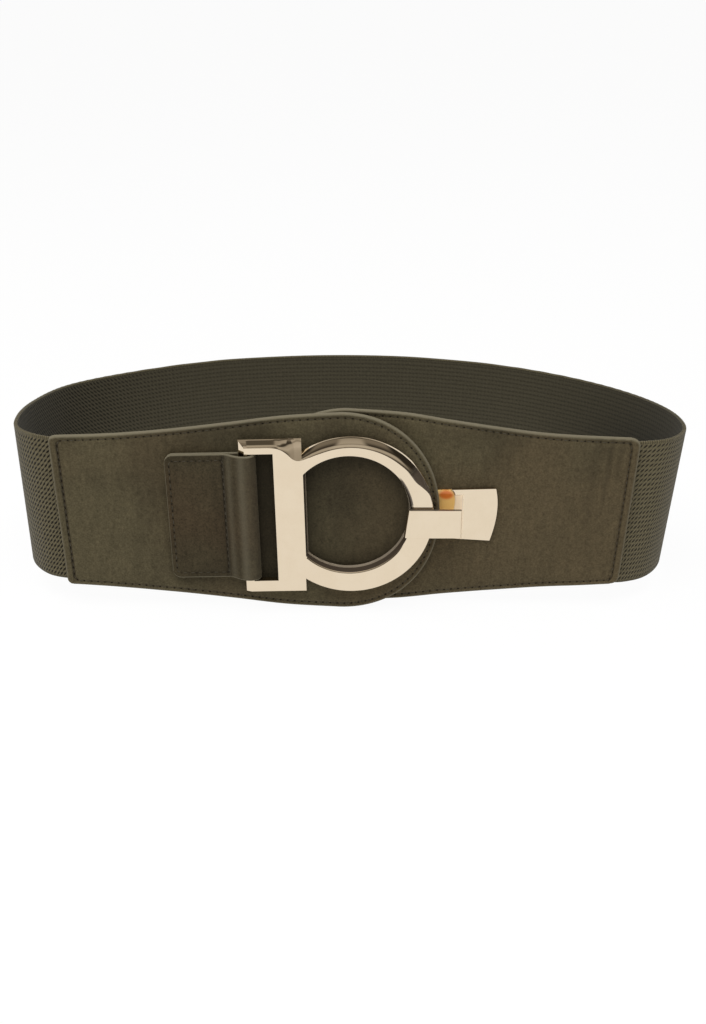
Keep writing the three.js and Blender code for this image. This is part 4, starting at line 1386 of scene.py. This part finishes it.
def tabPath():
    # middle line of the leather, as x and how far out: the sewn part, the loop round the bar, the back layer
    left = tab["left"]
    upper = tab["back"] + 1.5 * tab["layer"]
    lower = tab["back"] + 0.5 * tab["layer"] - 0.02
    along = [left + step for step in tab["endSteps"]]
    along += list(np.arange(left + tab["farFrom"], tab["seam"] - 0.4, tab["farStep"]))
    topPart = [(x, upper) for x in along]
    loopPart = splineThrough(tabLoop, np.linspace(0, 1, tab["loopSteps"]))
    backPart = [(x, lower) for x in np.linspace(tab["backStart"], left, tab["backSteps"])]
    path = np.vstack([topPart, loopPart, backPart])
    # ease the seam's fold
    kernel = np.array(tab["foldEase"], float) / sum(tab["foldEase"])
    eased = path.copy()
    for k in range(2, len(topPart) + tab["easeRun"]):
        if path[k, 0] > left + 4:
            eased[k, 1] = (path[k - 2:k + 3, 1] * kernel).sum()
    return eased, len(topPart)


def tabSection():
    # section points: share across, side of the middle line, pull in at the edge
    r, pull, side = tab["edgeRound"], tab["edgePull"], tab["edgeSide"]
    shares = np.array(list(tab["rowShares"]) + list(np.linspace(tab["rowsFrom"], 0.5, tab["halfRows"])))
    shares = np.concatenate([shares[:-1], 1 - shares[::-1]])
    over = [(s, 1.0, 0.0) for s in shares]
    over[0], over[-1] = (0.0, 1.0, r), (1.0, 1.0, r)
    under = [(1 - s, -1.0, 0.0) for s in shares]
    under[0], under[-1] = (1.0, -1.0, r), (0.0, -1.0, r)
    edgeTurn = [(1.0, side, pull), (1.0, 0.0, 0.0), (1.0, -side, pull)]
    farTurn = [(0.0, -side, pull), (0.0, 0.0, 0.0), (0.0, side, pull)]
    return over + edgeTurn + under + farTurn


def tabSeam():
    # round at the two sewn corners, square at the fold
    turn = np.radians(np.linspace(0, 90, tab["cornerSteps"]))
    half, r = tab["halfHeight"], tab["cornerRadius"] - tab["sideInset"]
    left, right = tab["left"] + tab["sideInset"], tab["seam"] - tab["seamInset"]
    low, high = tab["z"] - half + tab["bottomInset"], tab["z"] + half - tab["topInset"]
    seam = [(left + r * (1 - math.sin(a)), low + r * (1 - math.cos(a))) for a in turn]
    seam += [(left + r * (1 - math.cos(a)), high - r * (1 - math.sin(a))) for a in turn]
    return np.array(seam + [(right, high), (right, low)])


def makeTab():
    path, topCount = tabPath()
    run = np.gradient(path, axis=0)
    run /= np.linalg.norm(run, axis=1)[:, None]
    normal = np.stack([-run[:, 1], run[:, 0]], 1)  # outwards on the upper layer

    # rows across, close together near both edges, narrowed where the sewn corners are round
    half, radius, thick = tab["halfHeight"], tab["cornerRadius"], tab["layer"] / 2
    into = np.clip(path[:, 0] - tab["left"], 0, radius)
    widths = half - (radius - np.sqrt(np.maximum(0, radius**2 - (radius - into) ** 2)))
    ring = tabSection()
    count = len(ring)
    flat = np.empty((len(path), count, 2))
    points = np.empty((len(path), count, 3))
    onTop = np.zeros((len(path), count), bool)
    for k, (s, side, pull) in enumerate(ring):
        z = tab["z"] + (2 * s - 1) * widths - math.copysign(pull, s - 0.5)
        x, out = (path + normal * thick * side).T
        flat[:, k] = np.stack([path[:, 0], z], 1)
        points[:, k] = np.stack([x, -out, z], 1)
        onTop[:, k] = (side > 0.9) & (np.arange(len(path)) < topCount + 2)
    flat, points, onTop = flat.reshape(-1, 2), points.reshape(-1, 3), onTop.ravel()
    x = flat[:, 0]

    seam = tabSeam()
    distance, travel, length = nearestOnLine(flat, seam)
    stitches = round(length / tab["stitchPitch"])
    dip = np.exp(-((distance / tab["seamWidth"]) ** 2)) * onTop
    puff = tab["puff"] * smoothStep(*tab["puffFrom"], distance) * onTop * (x < tab["seam"] - tab["puffEnd"])
    points[:, 1] += tab["seamDepth"] * dip - puff

    faces = ringQuads(len(path), count) + endCaps(len(path), count)
    obj = meshObject("buckle_tab_suede", points, faces, tabSuede, buckleMatrix)
    faceOutwards(obj)
    beside = tab["rubbedEdge"]
    edge = np.tile([1.0 if abs(side) < 0.9 else beside if pull else 0.0 for s, side, pull in ring], len(path))
    edge[:count] = 1.0
    # painted shade lines across the tab, and painted shade behind the loop
    shaded = softLines(x, tab["shaded"]) + tab["backShade"] * smoothStep(*tab["backFrom"], x)
    # painted highlights along the loop's ridge are added to the edge tone
    onLoop = smoothStep(*(tab["seam"] + step for step in tab["loopFrom"]), x)
    writeValues(obj, "edge", np.maximum(edge, softLines(x, tab["wearAndPaintedHighlight"]) * onLoop))
    writeValues(obj, "paintedShade", np.where(edge > 0.5, 0, shaded))
    fold = tab["seam"] - tab["seamInset"]
    atFold = smoothStep(*(fold - step for step in tab["foldFrom"]), x)
    writeValues(obj, "fold", panel["sideFold"] + tab["foldTone"] * atFold)
    writeSeamMap(obj, travel / length * stitches, np.where(onTop, distance, farFromSeam), stitches)

    face = tab["back"] + 2 * tab["layer"]
    depths = np.array(tab["threadDepths"]) - face
    threads = [np.stack([x, depths, z], 1) for x, z in stitchPlaces(seam, stitches, length)]
    return obj, threads


tabObject, tabStitches = makeTab()
settle(tabObject, "suede", "buckle_tab")
settle(makeThreads("buckle_tab_stitches", tabStitches, buckleMatrix), "suede")
print("tab made")

# floor and light
stage = {
    "floorSize": 12, "floorZ": -0.3, "floorTone": 1.0, "paperTone": (0.9, 0.9, 0.9, 1), "shadowShare": 0.05,
    "horizon": (-0.002, 0.0), "lightPlace": (-0.1, -0.3, 0.95), "lightTarget": (0, 0, 0.03),
    "lightSize": 0.9, "lightPower": 12.0,
}
white = (1, 1, 1, 1)
# what the studio round the belt looks like from it, by the angle above the horizon in front of it,
# on over the top and down behind it, in degrees: tone in the middle, to each side, and far to each side
studio = [
    (0, 0.08, 0.08, 0.08), (8, 0.09, 0.1, 0.1), (12, 0.35, 0.3, 0.16), (19, 0.57, 0.5, 0.12),
    (30, 0.52, 0.45, 0.03), (36, 0.26, 0.06, 0.03), (42, 0.44, 0.05, 0.03), (60, 0.42, 0.2, 0.03),
    (78, 0.34, 0.22, 0.03), (82, 0.1, 0.14, 0.03), (94, 0.08, 0.12, 0.04), (98, 0.4, 0.6, 1.0),
    (106, 0.3, 0.6, 1.0), (116, 0.06, 0.3, 1.0), (158, 0.06, 0.2, 1.0), (168, 0.08, 0.9, 1.0),
    (173, 1.0, 1.0, 1.0), (180, 1.0, 1.0, 1.0),
]
studioSides = ((0.13, 0.24), (0.5, 0.64))  # sideways reach of the three tones
studioWarmth = (0.12, 0.3)  # how much green and blue its darker tones lose


def makeFloor():
    size, low = stage["floorSize"] / 2 / mm, stage["floorZ"]
    corners = [(-size, -size, low), (size, -size, low), (size, size, low), (-size, size, low)]
    floor = meshObject("floor", corners, [(0, 1, 2, 3)], smooth=False)
    material = bpy.data.materials.new("whitePaper")
    material.use_nodes = True
    tree = material.node_tree
    tree.nodes.clear()
    end = tree.nodes.new("ShaderNodeOutputMaterial")
    glow = tree.nodes.new("ShaderNodeEmission")
    glow.inputs["Color"].default_value = white
    glow.inputs["Strength"].default_value = stage["floorTone"]
    paper = tree.nodes.new("ShaderNodeBsdfDiffuse")
    paper.inputs["Color"].default_value = stage["paperTone"]
    mix = tree.nodes.new("ShaderNodeMixShader")
    mix.inputs[0].default_value = stage["shadowShare"]
    tree.links.new(glow.outputs[0], mix.inputs[1])
    tree.links.new(paper.outputs[0], mix.inputs[2])
    tree.links.new(mix.outputs[0], end.inputs[0])
    floor.data.materials.append(material)


def toneRamp(tree, place, column):
    ramp = addNode(tree, "ShaderNodeValToRGB")
    plug(tree, place, ramp.inputs[0])
    elements = ramp.color_ramp.elements
    while len(elements) < len(studio):
        elements.new(0.5)
    for element, row in zip(elements, studio):
        tone = row[column]
        element.position = row[0] / 180
        warm = 1 - tone
        green, blue = (tone * (1 - share * warm) for share in studioWarmth)
        element.color = (tone, green, blue, 1)
    return ramp.outputs[0]


def makeWorld():
    world = bpy.data.worlds.new("studio")
    scene.world = world
    world.use_nodes = True
    tree = world.node_tree
    background = tree.nodes["Background"]
    x, y, z = separated(tree, addNode(tree, "ShaderNodeTexCoord").outputs["Generated"])
    towards = times(tree, y, -1.0)
    angle = mathNode(tree, "ARCTAN2", mathNode(tree, "MAXIMUM", z, 0.0), towards)
    place = mathNode(tree, "DIVIDE", angle, math.pi)
    sideways = mathNode(tree, "ABSOLUTE", x)
    tone = toneRamp(tree, place, 1)
    for column, (near, far) in enumerate(studioSides, 2):
        tone = mixColors(tree, remap(tree, sideways, near, far), tone, toneRamp(tree, place, column))
    below = remap(tree, z, *stage["horizon"], 1.0, 0.0, False)
    seen = addNode(tree, "ShaderNodeLightPath").outputs["Is Camera Ray"]
    plain = mathNode(tree, "MAXIMUM", below, seen)  # what the picture itself shows beyond the floor is plain
    plug(tree, mixColors(tree, plain, tone, white), background.inputs["Color"])
    background.inputs["Strength"].default_value = 1.0


def addTopLight():
    # lights the cloth and leather, but isn't mirrored in the metal
    data = bpy.data.lights.new("topLight", "AREA")
    data.size = stage["lightSize"]
    data.energy = stage["lightPower"]
    light = bpy.data.objects.new("topLight", data)
    light.location = stage["lightPlace"]
    aim = Vector(stage["lightTarget"]) - Vector(stage["lightPlace"])
    light.rotation_euler = aim.to_track_quat("-Z", "Y").to_euler()
    light.visible_glossy = False
    scene.collection.objects.link(light)


makeFloor()
makeWorld()
addTopLight()
scene.view_settings.view_transform = "Standard"
print("stage set")
